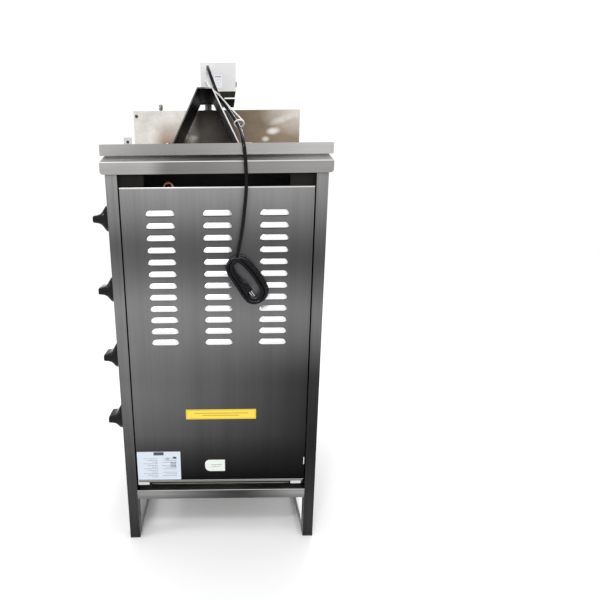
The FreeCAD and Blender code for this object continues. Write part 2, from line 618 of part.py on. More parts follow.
def spit():
    spot = ("spit_out", "spit_front")
    sleeve = fuse("socket_solid", rod("socket_sleeve", "z", (*spot, "spit_high - 28"), "10.5", "50"),
                  rod("socket_collar", "z", (*spot, "spit_high - 1"), "14", "6"))
    keep("drive_socket", cut("drive_socket", sleeve,
                             rod("socket_shaft_bore", "z", (*spot, "spit_high + 7"), "6", "20"),
                             square("socket_square", "spit_side", "spit_high - 30", "spit_high")))
    keep("spit_rod", fuse("spit_rod", square("spit_bar", "spit_side", "spit_low", "spit_high"),
                          rod("spit_pin", "z", (*spot, "pivot_low"), "pivot_round",
                              "spit_low - pivot_low")))
    plate = fuse("lower_disc_solid",
                 rod("lower_disc_plate", "z", (*spot, "lower_disc_low"), "lower_disc", "disc_thick"),
                 rod("lower_disc_hub", "z", (*spot, "lower_disc_low - 22"), "15", "22"))
    keep("lower_meat_disc", cut("lower_meat_disc", plate, square("lower_square", "spit_side",
                                "lower_disc_low - 25", "lower_disc_low + 10")))
    hub_high = "upper_disc_low + disc_thick"
    plate = fuse("upper_disc_solid",
                 rod("upper_disc_plate", "z", (*spot, "upper_disc_low"), "upper_disc", "disc_thick"),
                 rod("upper_disc_hub", "z", (*spot, hub_high), "15", "22"))
    screw_spot = ("spit_out", "spit_front - 36", f"{hub_high} + 11")
    keep("upper_meat_disc", cut(
        "upper_meat_disc", plate,
        square("upper_square", "spit_side + 2 * sliding_gap", "upper_disc_low - 5", f"{hub_high} + 25"),
        rod("screw_bore", "y", screw_spot, "3", "33")))
    wing = block("screw_wing", ("spit_out - 11", "spit_out + 11"), ("spit_front - 36", "spit_front - 24"),
                 (f"{hub_high} + 9.5", f"{hub_high} + 12.5"))
    shank = rod("screw_shank", "y", screw_spot, "3", "36 - spit_side / 2 - sliding_gap")
    keep("disc_thumbscrew", fuse("disc_thumbscrew", wing, shank))

    half = "arm_wide / 2"
    x = (f"spit_out - {half}", f"spit_out + {half}")
    bar = block("arm_bar", x, ("spit_front - 20", TOWER_FRONT), ("arm_low", "arm_low + arm_thick"))
    foot = block("arm_foot", x, (f"{TOWER_FRONT} - 6", TOWER_FRONT),
                 ("arm_rail_low", "arm_rail_low + post_side"))
    hole = rod("arm_hole", "z", (*spot, "arm_low - 5"), "8", "20")
    keep("pivot_arm", cut("pivot_arm", fuse("arm_solid", bar, foot), hole))


# ---------------------------------------------------------------- gas train

def valve_height(number):
    return f"(valve_first + {number} * valve_step)"


def gas_train():
    valves, tubes, injectors, venturis, housings, tiles, guards, bezels = ([] for _ in range(8))
    half_wide, half_tall = "(burner_wide / 2)", "(burner_tall / 2)"
    for number in BURNERS:
        up = valve_height(number)
        body = block(f"valve_body_{number}", ("valve_inner", "valve_outer"),
                     ("valve_back - 12", "valve_back + 12"), (f"{up} - 12", f"{up} + 12"))
        neck = rod(f"valve_neck_{number}", "x", ("valve_outer", "valve_back", up), "8",
                   f"{HALF} - sheet - valve_outer")
        inlet = rod(f"valve_inlet_{number}", "y", ("valve_inner + 10", "valve_back + 12", up), "7", "6")
        bore = rod(f"valve_bore_{number}", "x", ("valve_outer - 18", "valve_back", up),
                   "stem_round + running_gap", "40")
        valves.append(cut(f"valve_{number}", fuse(f"valve_solid_{number}", body, neck, inlet), bore))

        tubes.append(shaped(f"supply_tube_{number}", supply_tube(), ("0", "valve_back", up)))
        elbow = block(f"elbow_{number}", ("injector_out - 8", "injector_out + 8"),
                      ("valve_back - 8", "valve_back + 8"), (f"{up} - 8", f"{up} + 8"))
        nozzle = cone(f"nozzle_{number}", "y", ("injector_out", "venturi_end + 3", up), "3", "6",
                      "valve_back - 11 - venturi_end")
        injectors.append(fuse(f"injector_{number}", elbow, nozzle))
        pipe = rod(f"venturi_outside_{number}", "y", ("injector_out", "burner_back", up), "venturi_round",
                   "venturi_end - burner_back")
        pipe_bore = rod(f"venturi_inside_{number}", "y", ("injector_out", "burner_back - 1", up),
                        "venturi_round - tube_wall", "venturi_end - burner_back + 2")
        venturis.append(cut(f"venturi_{number}", pipe, pipe_bore))

        x = (f"spit_out - {half_wide}", f"spit_out + {half_wide}")
        z = (f"{up} - {half_tall}", f"{up} + {half_tall}")
        shell = block(f"plenum_outside_{number}", x, ("burner_front", "burner_back"), z)
        hollow_x = (f"{x[0]} + tube_wall", f"{x[1]} - tube_wall")
        hollow_z = (f"{z[0]} + tube_wall", f"{z[1]} - tube_wall")
        hollow = block(f"plenum_inside_{number}", hollow_x,
                       ("burner_front", "burner_back - tube_wall"), hollow_z)
        port = rod(f"plenum_port_{number}", "y", ("injector_out", "burner_back - 5", up),
                   "venturi_round - tube_wall", "10")
        housings.append(cut(f"plenum_{number}", shell, hollow, port))
        tiles.append(block(f"tile_{number}", hollow_x, ("burner_front", "burner_front + tile_thick"),
                           hollow_z))
        guards.append(shaped(f"guard_{number}", guard_grid(), (x[0], "burner_front - 3", z[0])))
        ring = rod(f"bezel_ring_{number}", "x", (HALF, "valve_back", up), "bezel_round", "bezel_thick")
        ring_hole = rod(f"bezel_hole_{number}", "x", (f"{HALF} - 1", "valve_back", up), "stem_round + 1.5",
                        "10")
        bezels.append(cut(f"bezel_{number}", ring, ring_hole))
        keep(f"control_knob_{number + 1}", control_knob(number, up))
    for name, solids in (("gas_valves", valves), ("supply_tubes", tubes), ("injectors", injectors),
                         ("venturi_tubes", venturis), ("burner_housings", housings),
                         ("ceramic_tiles", tiles), ("burner_guards", guards), ("knob_bezels", bezels)):
        keep(name, group(name, solids))


def supply_tube():
    """Copper tube from a valve towards the burner, up, over in a tight loop and down to the injector."""
    start, rise_at, end = value("valve_inner"), value("riser_out"), value("injector_out")
    bend, top, half_loop = 14.0, value("loop_tall"), (value("riser_out") - value("injector_out")) / 2
    slack = bend * (1 - math.sqrt(0.5))
    points = {
        "run": Vector(rise_at + bend, 0, 0), "knee": Vector(rise_at + slack, 0, slack),
        "rise": Vector(rise_at, 0, bend), "shoulder": Vector(rise_at, 0, top),
        "crest": Vector(rise_at - half_loop, 0, top + half_loop), "drop": Vector(end, 0, top)}
    edges = [
        Part.LineSegment(Vector(start, 0, 0), points["run"]).toShape(),
        Part.Arc(points["run"], points["knee"], points["rise"]).toShape(),
        Part.LineSegment(points["rise"], points["shoulder"]).toShape(),
        Part.Arc(points["shoulder"], points["crest"], points["drop"]).toShape(),
        Part.LineSegment(points["drop"], Vector(end, 0, 8)).toShape()]
    return swept(Part.Wire(edges), value("tube_round"))


def guard_grid():
    """A burner's guard: a frame with upright and level bars."""
    wide, tall, thick, bar, rim = value("burner_wide"), value("burner_tall"), 3.0, 3.0, 10.0
    columns, rows = 11, 6
    grid = Part.makeBox(wide, thick, tall)
    step_x, step_z = (wide - 2 * rim + bar) / columns, (tall - 2 * rim + bar) / rows
    windows = [Part.makeBox(step_x - bar, thick, step_z - bar,
                            Vector(rim + column * step_x, 0, rim + row * step_z))
               for column in range(columns) for row in range(rows)]
    return grid.cut(Part.makeCompound(windows))


def control_knob(number, up):
    """A skirted knob with a grip bar, on the valve stem that turns with it."""
    spot = ("knob_in", "valve_back", up)
    skirt = cone(f"knob_skirt_{number}", "x", spot, "knob_round", "knob_round - 4", "knob_skirt")
    dome = cone(f"knob_dome_{number}", "x", ("knob_in + knob_skirt", "valve_back", up), "knob_round - 12",
                "knob_thick / 2 + 1", "knob_dome")
    bar = block(f"knob_bar_{number}", ("knob_in + 3", "knob_out"),
                ("valve_back - knob_bar / 2", "valve_back + knob_bar / 2"),
                (f"{up} - knob_thick / 2", f"{up} + knob_thick / 2"))
    bore = rod(f"knob_bore_{number}", "x", ("knob_in - 1", "valve_back", up), "stem_round", "15")
    knob = cut(f"knob_{number}", fuse(f"knob_solid_{number}", skirt, dome, bar), bore)
    stem = rod(f"stem_{number}", "x", ("valve_outer - 16", "valve_back", up), "stem_round",
               "knob_in + 14 - valve_outer + 16")
    return group(f"control_knob_{number + 1}", [knob, stem])


def gas_manifold():
    """The upright square tube that feeds the valves, and its inlet socket under the tower."""
    middle = "(valve_inner + 10)"
    half = "manifold_side / 2"
    x = (f"{middle} - {half}", f"{middle} + {half}")
    rear = "(valve_back + 18 + manifold_side)"
    top = f"{valve_height(3)} + 55"
    upright = block("manifold_upright", x, ("valve_back + 18", rear), ("valve_first - 58", top))
    foot = block("manifold_foot", x, (f"inlet_back - {half}", rear), ("valve_first - 78", "valve_first - 58"))
    drop = rod("manifold_drop", "z", (middle, "inlet_back", "inlet_end"), "10.65",
               "valve_first - 70 - inlet_end")
    socket = rod("inlet_socket", "z", (middle, "inlet_back", "inlet_end"), "13", "24")
    thread = rod("inlet_thread", "z", (middle, "inlet_back", "inlet_end - 1"), "9.3", "17")
    keep("gas_manifold", cut("gas_manifold", fuse("manifold_solid", upright, foot, drop, socket), thread))


# ---------------------------------------------------------------- drip pan

def drip_pan():
    x, y = ("-pan_half", "pan_half"), ("pan_front", "pan_rear")
    tray = cut("pan_tray", block("pan_outside", x, y, ("pan_low", "pan_high")),
               block("pan_inside", *[(f"{low} + sheet", f"{high} - sheet") for low, high in (x, y)],
                     ("pan_low + sheet", "pan_high")))
    level = "(pan_low + pan_high) / 2"
    reach = "(handle_reach - handle_rod)"
    legs = [rod(f"pan_leg_{name}", "y", (f"{side} * 60", f"-{reach}", level), "handle_rod",
                f"{reach} + pan_front") for name, side in (("left", "1"), ("right", "-1"))]
    knuckles = []
    for name, side in (("left", "1"), ("right", "-1")):
        ball = doc.addObject("Part::Sphere", f"pan_corner_{name}")
        ball.setExpression("Radius", bound("handle_rod"))
        knuckles.append(place(ball, (f"{side} * 60", f"-{reach}", level)))
    grip = rod("pan_grip", "x", ("-60", f"-{reach}", level), "handle_rod", "120")
    keep("drip_pan", group("drip_pan", [tray, fuse("pan_handle", grip, *legs, *knuckles)]))

    def runner(name, side):
        return block(f"runner_{name}", across(side, f"{INNER} - 20", INNER), ("2 + pan_front", TOWER_FRONT),
                     ("pan_low - 2 - sliding_gap", "pan_low - sliding_gap"))

    keep("pan_runners", group("pan_runners", both(runner)))


# ---------------------------------------------------------------- wings

def wings():
    """Two side wings that lift on and off upright pins and swing outwards."""
    lugs = []
    for name, side in (("left", 1), ("right", -1)):
        sign = "" if side > 0 else "-"
        axis = (f"{sign}hinge_out", "hinge_front")
        sheet_x = across(side, "wing_face - sheet", "wing_face")
        pieces = [block(f"wing_sheet_{name}", sheet_x, ("wing_front", "wing_rear"),
                        ("wing_low", "wing_high")),
                  block(f"wing_hem_{name}", across(side, "wing_face - 12", "wing_face"),
                        ("wing_front", "wing_front + sheet"), ("wing_low", "wing_high"))]
        bores = []
        for level in ("0", "1"):
            low = f"(lug_low + 8 + {level} * lug_step)"
            lug = block(f"lug_block_{name}_{level}", across(side, "hinge_out - 8", "hinge_out + 8"),
                        ("hinge_front - 8", TOWER_FRONT), (f"{low} - 8", low))
            pin = rod(f"lug_pin_{name}_{level}", "z", (*axis, low), "hinge_pin", "24")
            lugs.append(fuse(f"lug_{name}_{level}", lug, pin))
            pieces.append(rod(f"knuckle_{name}_{level}", "z", (*axis, f"{low} + sliding_gap"), "6", "20"))
            pieces.append(block(f"leaf_{name}_{level}", sheet_x, ("wing_rear", "hinge_front"),
                                (f"{low} + sliding_gap", f"{low} + 20 + sliding_gap")))
            bores.append(rod(f"knuckle_bore_{name}_{level}", "z", (*axis, f"{low} - 1"),
                             "hinge_pin + running_gap", "30"))
        wing = cut(f"wing_leaf_{name}", fuse(f"wing_solid_{name}", *pieces), *bores)
        grip_x = f"{sign}grip_out"
        legs = [grip_leg(f"grip_leg_{name}_{level}", side, level) for level in ("grip_low", "grip_high")]
        corners = []
        for level in ("grip_low", "grip_high"):
            ball = doc.addObject("Part::Sphere", f"grip_corner_{name}_{level}")
            ball.setExpression("Radius", bound("grip_rod"))
            corners.append(place(ball, (grip_x, "grip_front", level)))
        bar = rod(f"grip_bar_{name}", "z", (grip_x, "grip_front", "grip_low"), "grip_rod",
                  "grip_high - grip_low")
        keep(f"wing_{name}", group(f"wing_{name}", [wing, fuse(f"grip_{name}", bar, *legs, *corners)]))
    keep("wing_hinges", group("wing_hinges", lugs))


def grip_leg(name, side, level):
    """A leg of a wing's handle, from the sheet out to the grip."""
    start = "wing_face" if side > 0 else "-grip_out"
    return rod(name, "x", (start, "grip_front", level), "grip_rod", "grip_out - wing_face")


# ---------------------------------------------------------------- cord

# the power cord's route, from the gland over the rear of the table top to the coil
CORD_ROUTE = [
    (23, 103, 1371), (23, 127, 1371), (21, 149, 1363), (16, 166, 1346), (9, 178, 1323),
    (0, 188, 1299), (-11, 200, 1275), (-35, 222, 1240), (-54, 246, 1207), (-62, 274, 1183),
    (-66, 300, 1160), (-70, 308, 1127), (-73, 305, 1082), (-73, 302, 1040), (-69, 300, 1000),
    (-65, 300, 958), (-58, 300, 919), (-51, 301, 881)]
# the thin wire from the control box to the ring round the cord
WIRE_ROUTE = [
    (30, 77, 1343), (29, 96, 1342), (26, 118, 1336), (21, 146, 1323), (15, 172, 1309), (6, 194, 1297),
    (-10, 212, 1280), (-33, 228, 1252), (-52, 237, 1232), (-69, 244, 1214)]


def routed(name, route, radius):
    """A round tube along a route, with its bends and its length printed."""
    path, radii = rounded_path(route)
    shape = swept(path, radius)
    expected = math.pi * radius * radius * path.Length
    print(name, "radii", [round(bend) for bend in radii], "length", round(path.Length),
          "volume / section and length", round(shape.Volume / expected, 4))
    return shaped(name, shape)


def cords():
    keep("power_cord", routed("power_cord", CORD_ROUTE, value("cord_round")))
    wire = routed("restraint_wire", WIRE_ROUTE, value("wire_round"))
    ring = doc.addObject("Part::Torus", "restraint_ring")
    ring.setExpression("Radius1", bound("ring_round"))
    ring.setExpression("Radius2", bound("wire_round"))
    along_cord = Vector(*CORD_ROUTE[8]) - Vector(*CORD_ROUTE[7])
    place(ring, ("ring_out", "ring_back", "ring_up"), FreeCAD.Rotation(Vector(0, 0, 1), along_cord))
    keep("cord_restraint", group("cord_restraint", [wire, ring]))
    keep("cord_coil", coil())
    keep("plug", plug())


def coil_turn():
    """The coil's long axis, local X, runs down towards -X, and its flat side faces the rear."""
    stand = FreeCAD.Rotation(Vector(1, 0, 0), 90)
    tilt = FreeCAD.Rotation(Vector(0, 1, 0), -value("coil_tilt"))
    return tilt * stand


def coil():
    """The hanging coil's outer shape: an upright oval ring, tilted in front of the cover."""
    end, half = value("coil_end"), value("coil_straight") / 2
    edges = [
        Part.LineSegment(Vector(-half, end, 0), Vector(half, end, 0)).toShape(),
        Part.Arc(Vector(half, end, 0), Vector(half + end, 0, 0), Vector(half, -end, 0)).toShape(),
        Part.LineSegment(Vector(half, -end, 0), Vector(-half, -end, 0)).toShape(),
        Part.Arc(Vector(-half, -end, 0), Vector(-half - end, 0, 0), Vector(-half, end, 0)).toShape()]
    return shaped("cord_coil", swept(Part.Wire(edges), value("coil_round")),
                  ("coil_out", "coil_back", "coil_up"), coil_turn())


def plug():
    """A moulded three-pin plug that lies in the coil, with its blades down the coil's long axis."""
    long, wide, thick = value("plug_long"), value("plug_wide"), value("plug_thick")
    body = Part.makeBox(long, wide, thick, Vector(-long / 2, -wide / 2, -thick / 2))
    body = body.makeFillet(3, body.Edges)
    reach, tall, flat = value("blade_long"), value("blade_wide"), value("blade_thick")
    apart = value("blade_gap") / 2
    blades = [Part.makeBox(reach, flat, tall, Vector(-long / 2 - reach, side * apart - flat / 2, -tall / 2))
              for side in (-1, 1)]
    ground = Part.makeCylinder(2.4, reach + 2, Vector(-long / 2, 0, 6), Vector(-1, 0, 0))
    return shaped("plug", body.fuse(blades + [ground]), ("plug_out", "plug_back", "plug_up"), coil_turn())


# ---------------------------------------------------------------- build, check and write

for make in (frame_tubes, side_panels, rear_cover, cover_brackets, inner_sheets, crown, motor_bridge,
             drive_plate, control_box, gearbox, spit, gas_train, gas_manifold, drip_pan, wings, cords):
    make()
doc.recompute()

for item in doc.Objects:
    if "Invalid" in item.State or "Error" in item.State:
        raise RuntimeError(f"{item.Label} failed: {item.State}")

os.makedirs("parts", exist_ok=True)
for name, item in parts.items():
    if item.Shape.isNull() or not item.Shape.isValid() or not item.Shape.Solids:
        raise RuntimeError(f"{name} has no valid solid")
for name, item in parts.items():
    item.Shape.exportStep(f"parts/{name}.step")
print(len(parts), "sub-parts")
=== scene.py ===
"""The looks of a vertical rotisserie broiler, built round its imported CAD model. Sizes are in metres."""

import math
import random

import bmesh
import bpy
from mathutils import Matrix, Vector


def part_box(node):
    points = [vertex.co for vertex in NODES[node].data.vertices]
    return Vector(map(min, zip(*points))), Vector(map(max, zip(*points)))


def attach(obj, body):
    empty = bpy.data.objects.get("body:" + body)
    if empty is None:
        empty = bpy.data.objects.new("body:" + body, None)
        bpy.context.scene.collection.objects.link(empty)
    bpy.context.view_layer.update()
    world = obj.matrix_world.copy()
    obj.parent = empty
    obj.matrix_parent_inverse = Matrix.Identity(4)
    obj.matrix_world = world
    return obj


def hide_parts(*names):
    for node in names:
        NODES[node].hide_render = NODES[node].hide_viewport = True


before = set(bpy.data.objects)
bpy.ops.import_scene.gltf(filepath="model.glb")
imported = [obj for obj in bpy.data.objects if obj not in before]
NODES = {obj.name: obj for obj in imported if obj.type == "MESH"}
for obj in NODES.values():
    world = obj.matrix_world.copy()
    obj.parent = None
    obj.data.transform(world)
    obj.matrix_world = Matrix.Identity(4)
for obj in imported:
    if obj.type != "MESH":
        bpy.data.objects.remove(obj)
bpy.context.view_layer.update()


# ---------------------------------------------------------------- the camera, the room and the lights

EYE = Vector((-0.0091, 1.4188, 1.0394))
PITCH, ROLL = math.radians(13.847), math.radians(-0.622)
FOCAL, SENSOR, SHIFT, NEAREST = 26.095, 36.0, 0.1303, 0.02
SKY_STRENGTH, FLOOR_HALF = 1.05, 9.0
LAMPS = [("lamp_rear_top", (0.5, 2.0, 3.0), (0, 0.2, 0.9), 0.45, 21),
         ("lamp_left", (2.4, 0.8, 2.2), (0, 0.1, 0.7), 0.35, 10),
         ("lamp_front", (-1.2, -2.4, 2.6), (0, 0, 0.7), 0.8, 22)]


def make_camera():
    """A wide view of the rear from close behind the machine, pitched down a little."""
    lens = bpy.data.cameras.new("rear_view")
    lens.lens, lens.sensor_width, lens.shift_x, lens.clip_start = FOCAL, SENSOR, SHIFT, NEAREST
    eye = bpy.data.objects.new("rear_view", lens)
    bpy.context.scene.collection.objects.link(eye)
    forward = Vector((0, -math.cos(PITCH), -math.sin(PITCH)))
    level = Vector((-1, 0, 0))
    upward = level.cross(forward)
    right = level * math.cos(ROLL) + upward * math.sin(ROLL)
    over = upward * math.cos(ROLL) - level * math.sin(ROLL)
    turn = Matrix((right, over, -forward)).transposed()
    eye.matrix_world = Matrix.Translation(EYE) @ turn.to_4x4()
    bpy.context.scene.camera = eye


def make_lamp(name, place, target, size, power):
    """A soft white square lamp that shines at a point."""
    lamp = bpy.data.lights.new(name, "AREA")
    lamp.shape, lamp.size, lamp.energy = "SQUARE", size, power
    holder = bpy.data.objects.new(name, lamp)
    bpy.context.scene.collection.objects.link(holder)
    aim = (Vector(target) - Vector(place)).to_track_quat("-Z", "Y")
    holder.matrix_world = Matrix.Translation(place) @ aim.to_matrix().to_4x4()


def make_room():
    """A plain pale floor under a near-white sky, with soft lamps behind, at the left and in front."""
    scene = bpy.context.scene
    scene.view_settings.view_transform = "Standard"
    scene.world = bpy.data.worlds.new("studio")
    scene.world.use_nodes = True
    sky = scene.world.node_tree.nodes["Background"]
    sky.inputs["Color"].default_value = (1.0, 1.0, 1.0, 1)
    sky.inputs["Strength"].default_value = SKY_STRENGTH
    data = bpy.data.meshes.new("floor")
    corners = [(x * FLOOR_HALF, y * FLOOR_HALF, 0) for x, y in ((-1, -1), (1, -1), (1, 1), (-1, 1))]
    data.from_pydata(corners, [], [(0, 1, 2, 3)])
    floor = bpy.data.objects.new("floor", data)
    scene.collection.objects.link(floor)
    look = Look("pale_floor", (0.97, 0.97, 0.97), 0.0, 0.9)
    floor.data.materials.append(look.material)
    for name, place, target, size, power in LAMPS:
        make_lamp(name, place, target, size, power)


# ---------------------------------------------------------------- materials

class Look:
    """A Principled material, with short calls that add texture nodes to it."""

    def __init__(self, name, color, metallic=0.0, roughness=0.5, **more):
        self.material = bpy.data.materials.new(name)
        self.material.use_nodes = True
        self.tree = self.material.node_tree
        self.shader = self.tree.nodes["Principled BSDF"]
        self.put("Base Color", color if len(color) == 4 else (*color, 1.0))
        self.put("Metallic", metallic)
        self.put("Roughness", roughness)
        for socket, value in more.items():
            self.put(socket.replace("_", " "), value)

    def put(self, socket, value):
        self.plug(self.shader.inputs[socket], value)

    def plug(self, socket, value):
        if isinstance(value, bpy.types.NodeSocket):
            self.tree.links.new(value, socket)
        else:
            socket.default_value = value

    def add(self, kind, inputs, output=0, **settings):
        """A node with these settings and inputs, given by name or number; returns one of its outputs."""
        node = self.tree.nodes.new("ShaderNode" + kind)
        for name, value in settings.items():
            setattr(node, name, value)
        for name, value in inputs.items():
            self.plug(node.inputs[name], value)
        return node.outputs[output]

    def place(self, scale):
        """The object's own coordinates in metres, times a scale on each axis."""
        return self.add("Mapping", {"Vector": self.add("TexCoord", {}, "Object"), "Scale": scale})

    def noise(self, scale, detail=3.0, soft=0.5):
        vector = self.place(scale if isinstance(scale, tuple) else (scale,) * 3)
        return self.add("TexNoise", {"Vector": vector, "Scale": 1.0, "Detail": detail, "Roughness": soft})

    def span(self, value, low, high, start=0.0, end=1.0):
        """A value taken from one range to another, and kept inside it."""
        return self.add("MapRange", {"Value": value, 1: start, 2: end, 3: low, 4: high})

    def axis(self, name):
        return self.add("SeparateXYZ", {0: self.add("TexCoord", {}, "Object")}, name)

    def ramp(self, value, stops):
        """A colour ramp over (position, grey or colour) stops."""
        node = self.tree.nodes.new("ShaderNodeValToRGB")
        self.plug(node.inputs[0], value)
        node.color_ramp.interpolation = "EASE"
        points = node.color_ramp.elements
        while len(points) < len(stops):
            points.new(1.0)
        for point, (spot, tone) in zip(points, stops):
            point.position = spot
            point.color = (tone, tone, tone, 1) if isinstance(tone, float) else (*tone, 1)
        return node.outputs[0]

    def mix(self, share, first, second, blend="MIX"):
        return self.add("Mix", {0: share, 6: first, 7: second}, 2, data_type="RGBA", blend_type=blend)

    def sum(self, first, second, kind="ADD"):
        return self.add("Math", {0: first, 1: second}, operation=kind)

    def grey(self, value):
        """A grey colour of this value."""
        return self.add("CombineColor", {0: value, 1: value, 2: value})

    def facing(self, axis):
        """How far the surface faces along an axis, from -1 to 1."""
        return self.add("SeparateXYZ", {0: self.add("NewGeometry", {}, "Normal")}, axis)

    def spot(self, centre, size, turn=0.0):
        """A soft patch in the X-Z plane: 1 in its middle and 0 at its rim."""
        vector = self.add("Mapping", {"Vector": self.add("TexCoord", {}, "Object"), "Location": centre,
                                      "Rotation": (0, math.radians(turn), 0),
                                      "Scale": (size[0], 1.0, size[1])}, vector_type="TEXTURE")
        return self.add("TexGradient", {"Vector": vector}, 1, gradient_type="SPHERICAL")

    def bump(self, value, height, strength=1.0):
        self.put("Normal", self.add("Bump", {"Height": value, "Distance": height, "Strength": strength}))


ACROSS, ALONG = 170.0, 2.5
GRAIN = {"x": (ALONG, ACROSS, ACROSS), "y": (ACROSS, ALONG, ACROSS), "z": (ACROSS, ACROSS, ALONG)}
LEDGE_TALL = 0.016

# Painted reflections of the room in the brushed steel, as (place, grey): from the floor (0) to the full
# height (1), or from the right side (0) to the left side (1) as seen from the rear.
FULL_HEIGHT = 1.45
ROOM_RIGHT = [(0.0, 0.04), (0.2, 0.02), (0.35, 0.03), (0.5, 0.15), (0.6, 0.07), (0.75, 0.25)]
ROOM_LEFT = [(0.0, 0.04), (0.15, 0.06), (0.35, 0.15), (0.5, 0.2), (0.62, 0.1), (0.75, 0.3)]
SKIRT_LEVELS = [(0.0, 0.3), (0.7, 0.2), (0.8, 0.4)]
LEDGE_LEVELS = [(0.0, 0.4), (0.5, 0.1), (1.0, 0.35)]
RIM_LEVELS = [(0.0, 0.5), (0.7, 0.3), (1.0, 0.4)]
RAIL_LEVELS = [(0.0, 0.25), (0.4, 0.04), (1.0, 0.25)]


def brushed(name, tone, grain="z", rough=0.34, streak=0.16, tint=(1, 1, 1), painted_light_of=None, **more):
    """Brushed stainless sheet: fine lines along the grain, faint wide streaks, and slow changes of tone.

    The grey is one tone, or, where a function for it is given, comes from the place on the machine: a painted
    reflection of the room, with painted shade and highlights."""
    look = Look(name, (0.5, 0.5, 0.5), 1.0, rough, **more)
    fine = look.noise(GRAIN[grain], 4.0, 0.65)
    wide = look.noise(tuple(part / 6 for part in GRAIN[grain]), 2.0)
    cloud = look.noise(5.0, 2.0)
    marks = look.sum(look.span(fine, -streak, streak, 0.25, 0.75),
                     look.span(wide, -streak, streak, 0.25, 0.75))
    marks = look.sum(marks, look.span(cloud, 1.0 - streak, 1.0 + streak, 0.3, 0.7))
    level = painted_light_of(look) if painted_light_of else look.grey(tone)
    base = look.mix(1.0, level, (*tint, 1.0), "MULTIPLY")
    look.put("Base Color", look.mix(1.0, base, look.grey(marks), "MULTIPLY"))
    look.put("Roughness", look.sum(look.span(fine, rough - 0.07, rough + 0.07, 0.2, 0.8),
                                   look.span(cloud, -0.05, 0.07, 0.3, 0.7)))
    look.bump(fine, 0.00025, 0.35)
    return look


def by_height(look, levels):
    """A grey that depends on the height above the floor; levels are (share of full height, grey)."""
    return look.ramp(look.span(look.axis("Z"), 0.0, 1.0, 0.0, FULL_HEIGHT), levels)


def room_shade(look, right, left):
    """A painted reflection of the room in the steel: pale high up and at mid height, dark near the floor,
    paler on the left.
    """
    share = look.span(look.axis("X"), 0.0, 1.0, right, left)
    return look.mix(share, by_height(look, ROOM_RIGHT), by_height(look, ROOM_LEFT))


def cover_shade(look):
    """The cover's painted reflection of the room, with painted shade that darkens it towards its lower edge.
    """
    low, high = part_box("rear_cover")
    # painted shade: darker towards the lower edge
    foot = look.grey(look.span(look.axis("Z"), 0.1, 1.0, low.z, low.z + 0.15))
    return look.mix(1.0, room_shade(look, low.x, high.x), foot, "MULTIPLY")


def post_shade(look):
    # The posts and frame get the painted reflection of the room.
    return room_shade(look, -0.2, 0.2)


def crown_shade(look):
    """Painted reflections: the skirt, the leaning ledge and the table's rim each get the grey of another part
    of the room, with painted highlights on the rim's underside and along the fold below the ledge.
    """
    across, z = look.span(look.axis("X"), 0.0, 1.0, -0.3, 0.3), look.axis("Z")
    skirt = look.ramp(across, SKIRT_LEVELS)
    ledge = look.ramp(across, LEDGE_LEVELS)
    # painted highlight: the rim's downward faces turn pale
    rim = look.mix(look.span(look.facing("Z"), 1.0, 0.0, -0.9, -0.6), look.ramp(across, RIM_LEVELS),
                   (0.85, 0.85, 0.85, 1))
    ledge_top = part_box("crown_frame")[1].z
    ledge_low = ledge_top - LEDGE_TALL
    shade = look.mix(look.span(z, 0.0, 1.0, ledge_low + 0.0012, ledge_low + 0.002), skirt, ledge)
    shade = look.mix(look.span(z, 0.0, 1.0, ledge_top - 0.0005, ledge_top), shade, rim)
    # painted highlight: a pale line along the fold between the skirt and the ledge
    fold = look.sum(look.span(z, 0.0, 1.0, ledge_low - 0.0012, ledge_low - 0.0004),
                    look.span(z, 1.0, 0.0, ledge_low + 0.001, ledge_low + 0.0018), "MULTIPLY")
    return look.mix(fold, shade, (0.8, 0.8, 0.8, 1))


def rail_shade(look):
    """The cross rails' painted reflection: bright at both ends, darker over the lower part of the face, with
    a painted highlight along the top edge.
    """
    z = look.axis("Z")
    across = look.ramp(look.span(look.axis("X"), 0.0, 1.0, -0.25, 0.25), RAIL_LEVELS)
    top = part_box("pan_rails")[1].z
    # painted shade over the lower part of the face
    lower = look.mix(look.span(z, 0.35, 0.0, top - 0.024, top - 0.014), across, (0.08, 0.08, 0.08, 1))
    # painted highlight along the top edge
    return look.mix(look.span(z, 0.0, 1.0, top - 0.0032, top - 0.0012), lower, (0.5, 0.5, 0.5, 1))


def painted(name, color, rough=0.35, grain=420.0, speckle=0.05, underside_shade=None):
    """Stove paint or a moulded skin: a fine orange peel, an uneven tone, and perhaps painted shade on the
    underside, which then also loses its shine.
    """
    look = Look(name, color, 0.0, rough)
    peel, cloud = look.noise(grain, 2.0), look.noise(14.0, 3.0)
    tone = look.sum(look.span(peel, -speckle, speckle, 0.3, 0.7), look.span(cloud, 1 - speckle, 1 + speckle))
    base = look.mix(1.0, (*color, 1.0), look.grey(tone), "MULTIPLY")
    if underside_shade:
        # painted shade: faces that look downwards turn dark and lose their reflection
        base = look.mix(look.span(look.facing("Z"), 1.0, 0.0, -0.9, -0.6), base, (*underside_shade, 1.0))
        look.put("Specular IOR Level", look.span(look.facing("Z"), 0.0, 0.5, -0.9, -0.6))
    look.put("Base Color", base)
    look.put("Roughness", look.span(cloud, rough - 0.06, rough + 0.1, 0.3, 0.7))
    look.bump(peel, 0.0002, 0.4)
    return look


def metal(name, color, rough=0.28, stain=None, spread=0.35, scale=30.0):
    """Turned or drawn metal, with a stain of another colour in patches and fine scratches."""
    look = Look(name, color, 1.0, rough)
    patch, scratch = look.noise(scale, 4.0, 0.6), look.noise((60.0, 60.0, 400.0), 3.0)
    stain = stain or tuple(part * 0.6 for part in color)
    look.put("Base Color", look.mix(look.span(patch, 0.0, spread, 0.4, 0.7), (*color, 1), (*stain, 1)))
    look.put("Roughness", look.sum(look.span(patch, rough - 0.05, rough + 0.2, 0.35, 0.75),
                                   look.span(scratch, -0.05, 0.05, 0.3, 0.7)))
    look.bump(scratch, 0.0002, 0.3)
    return look


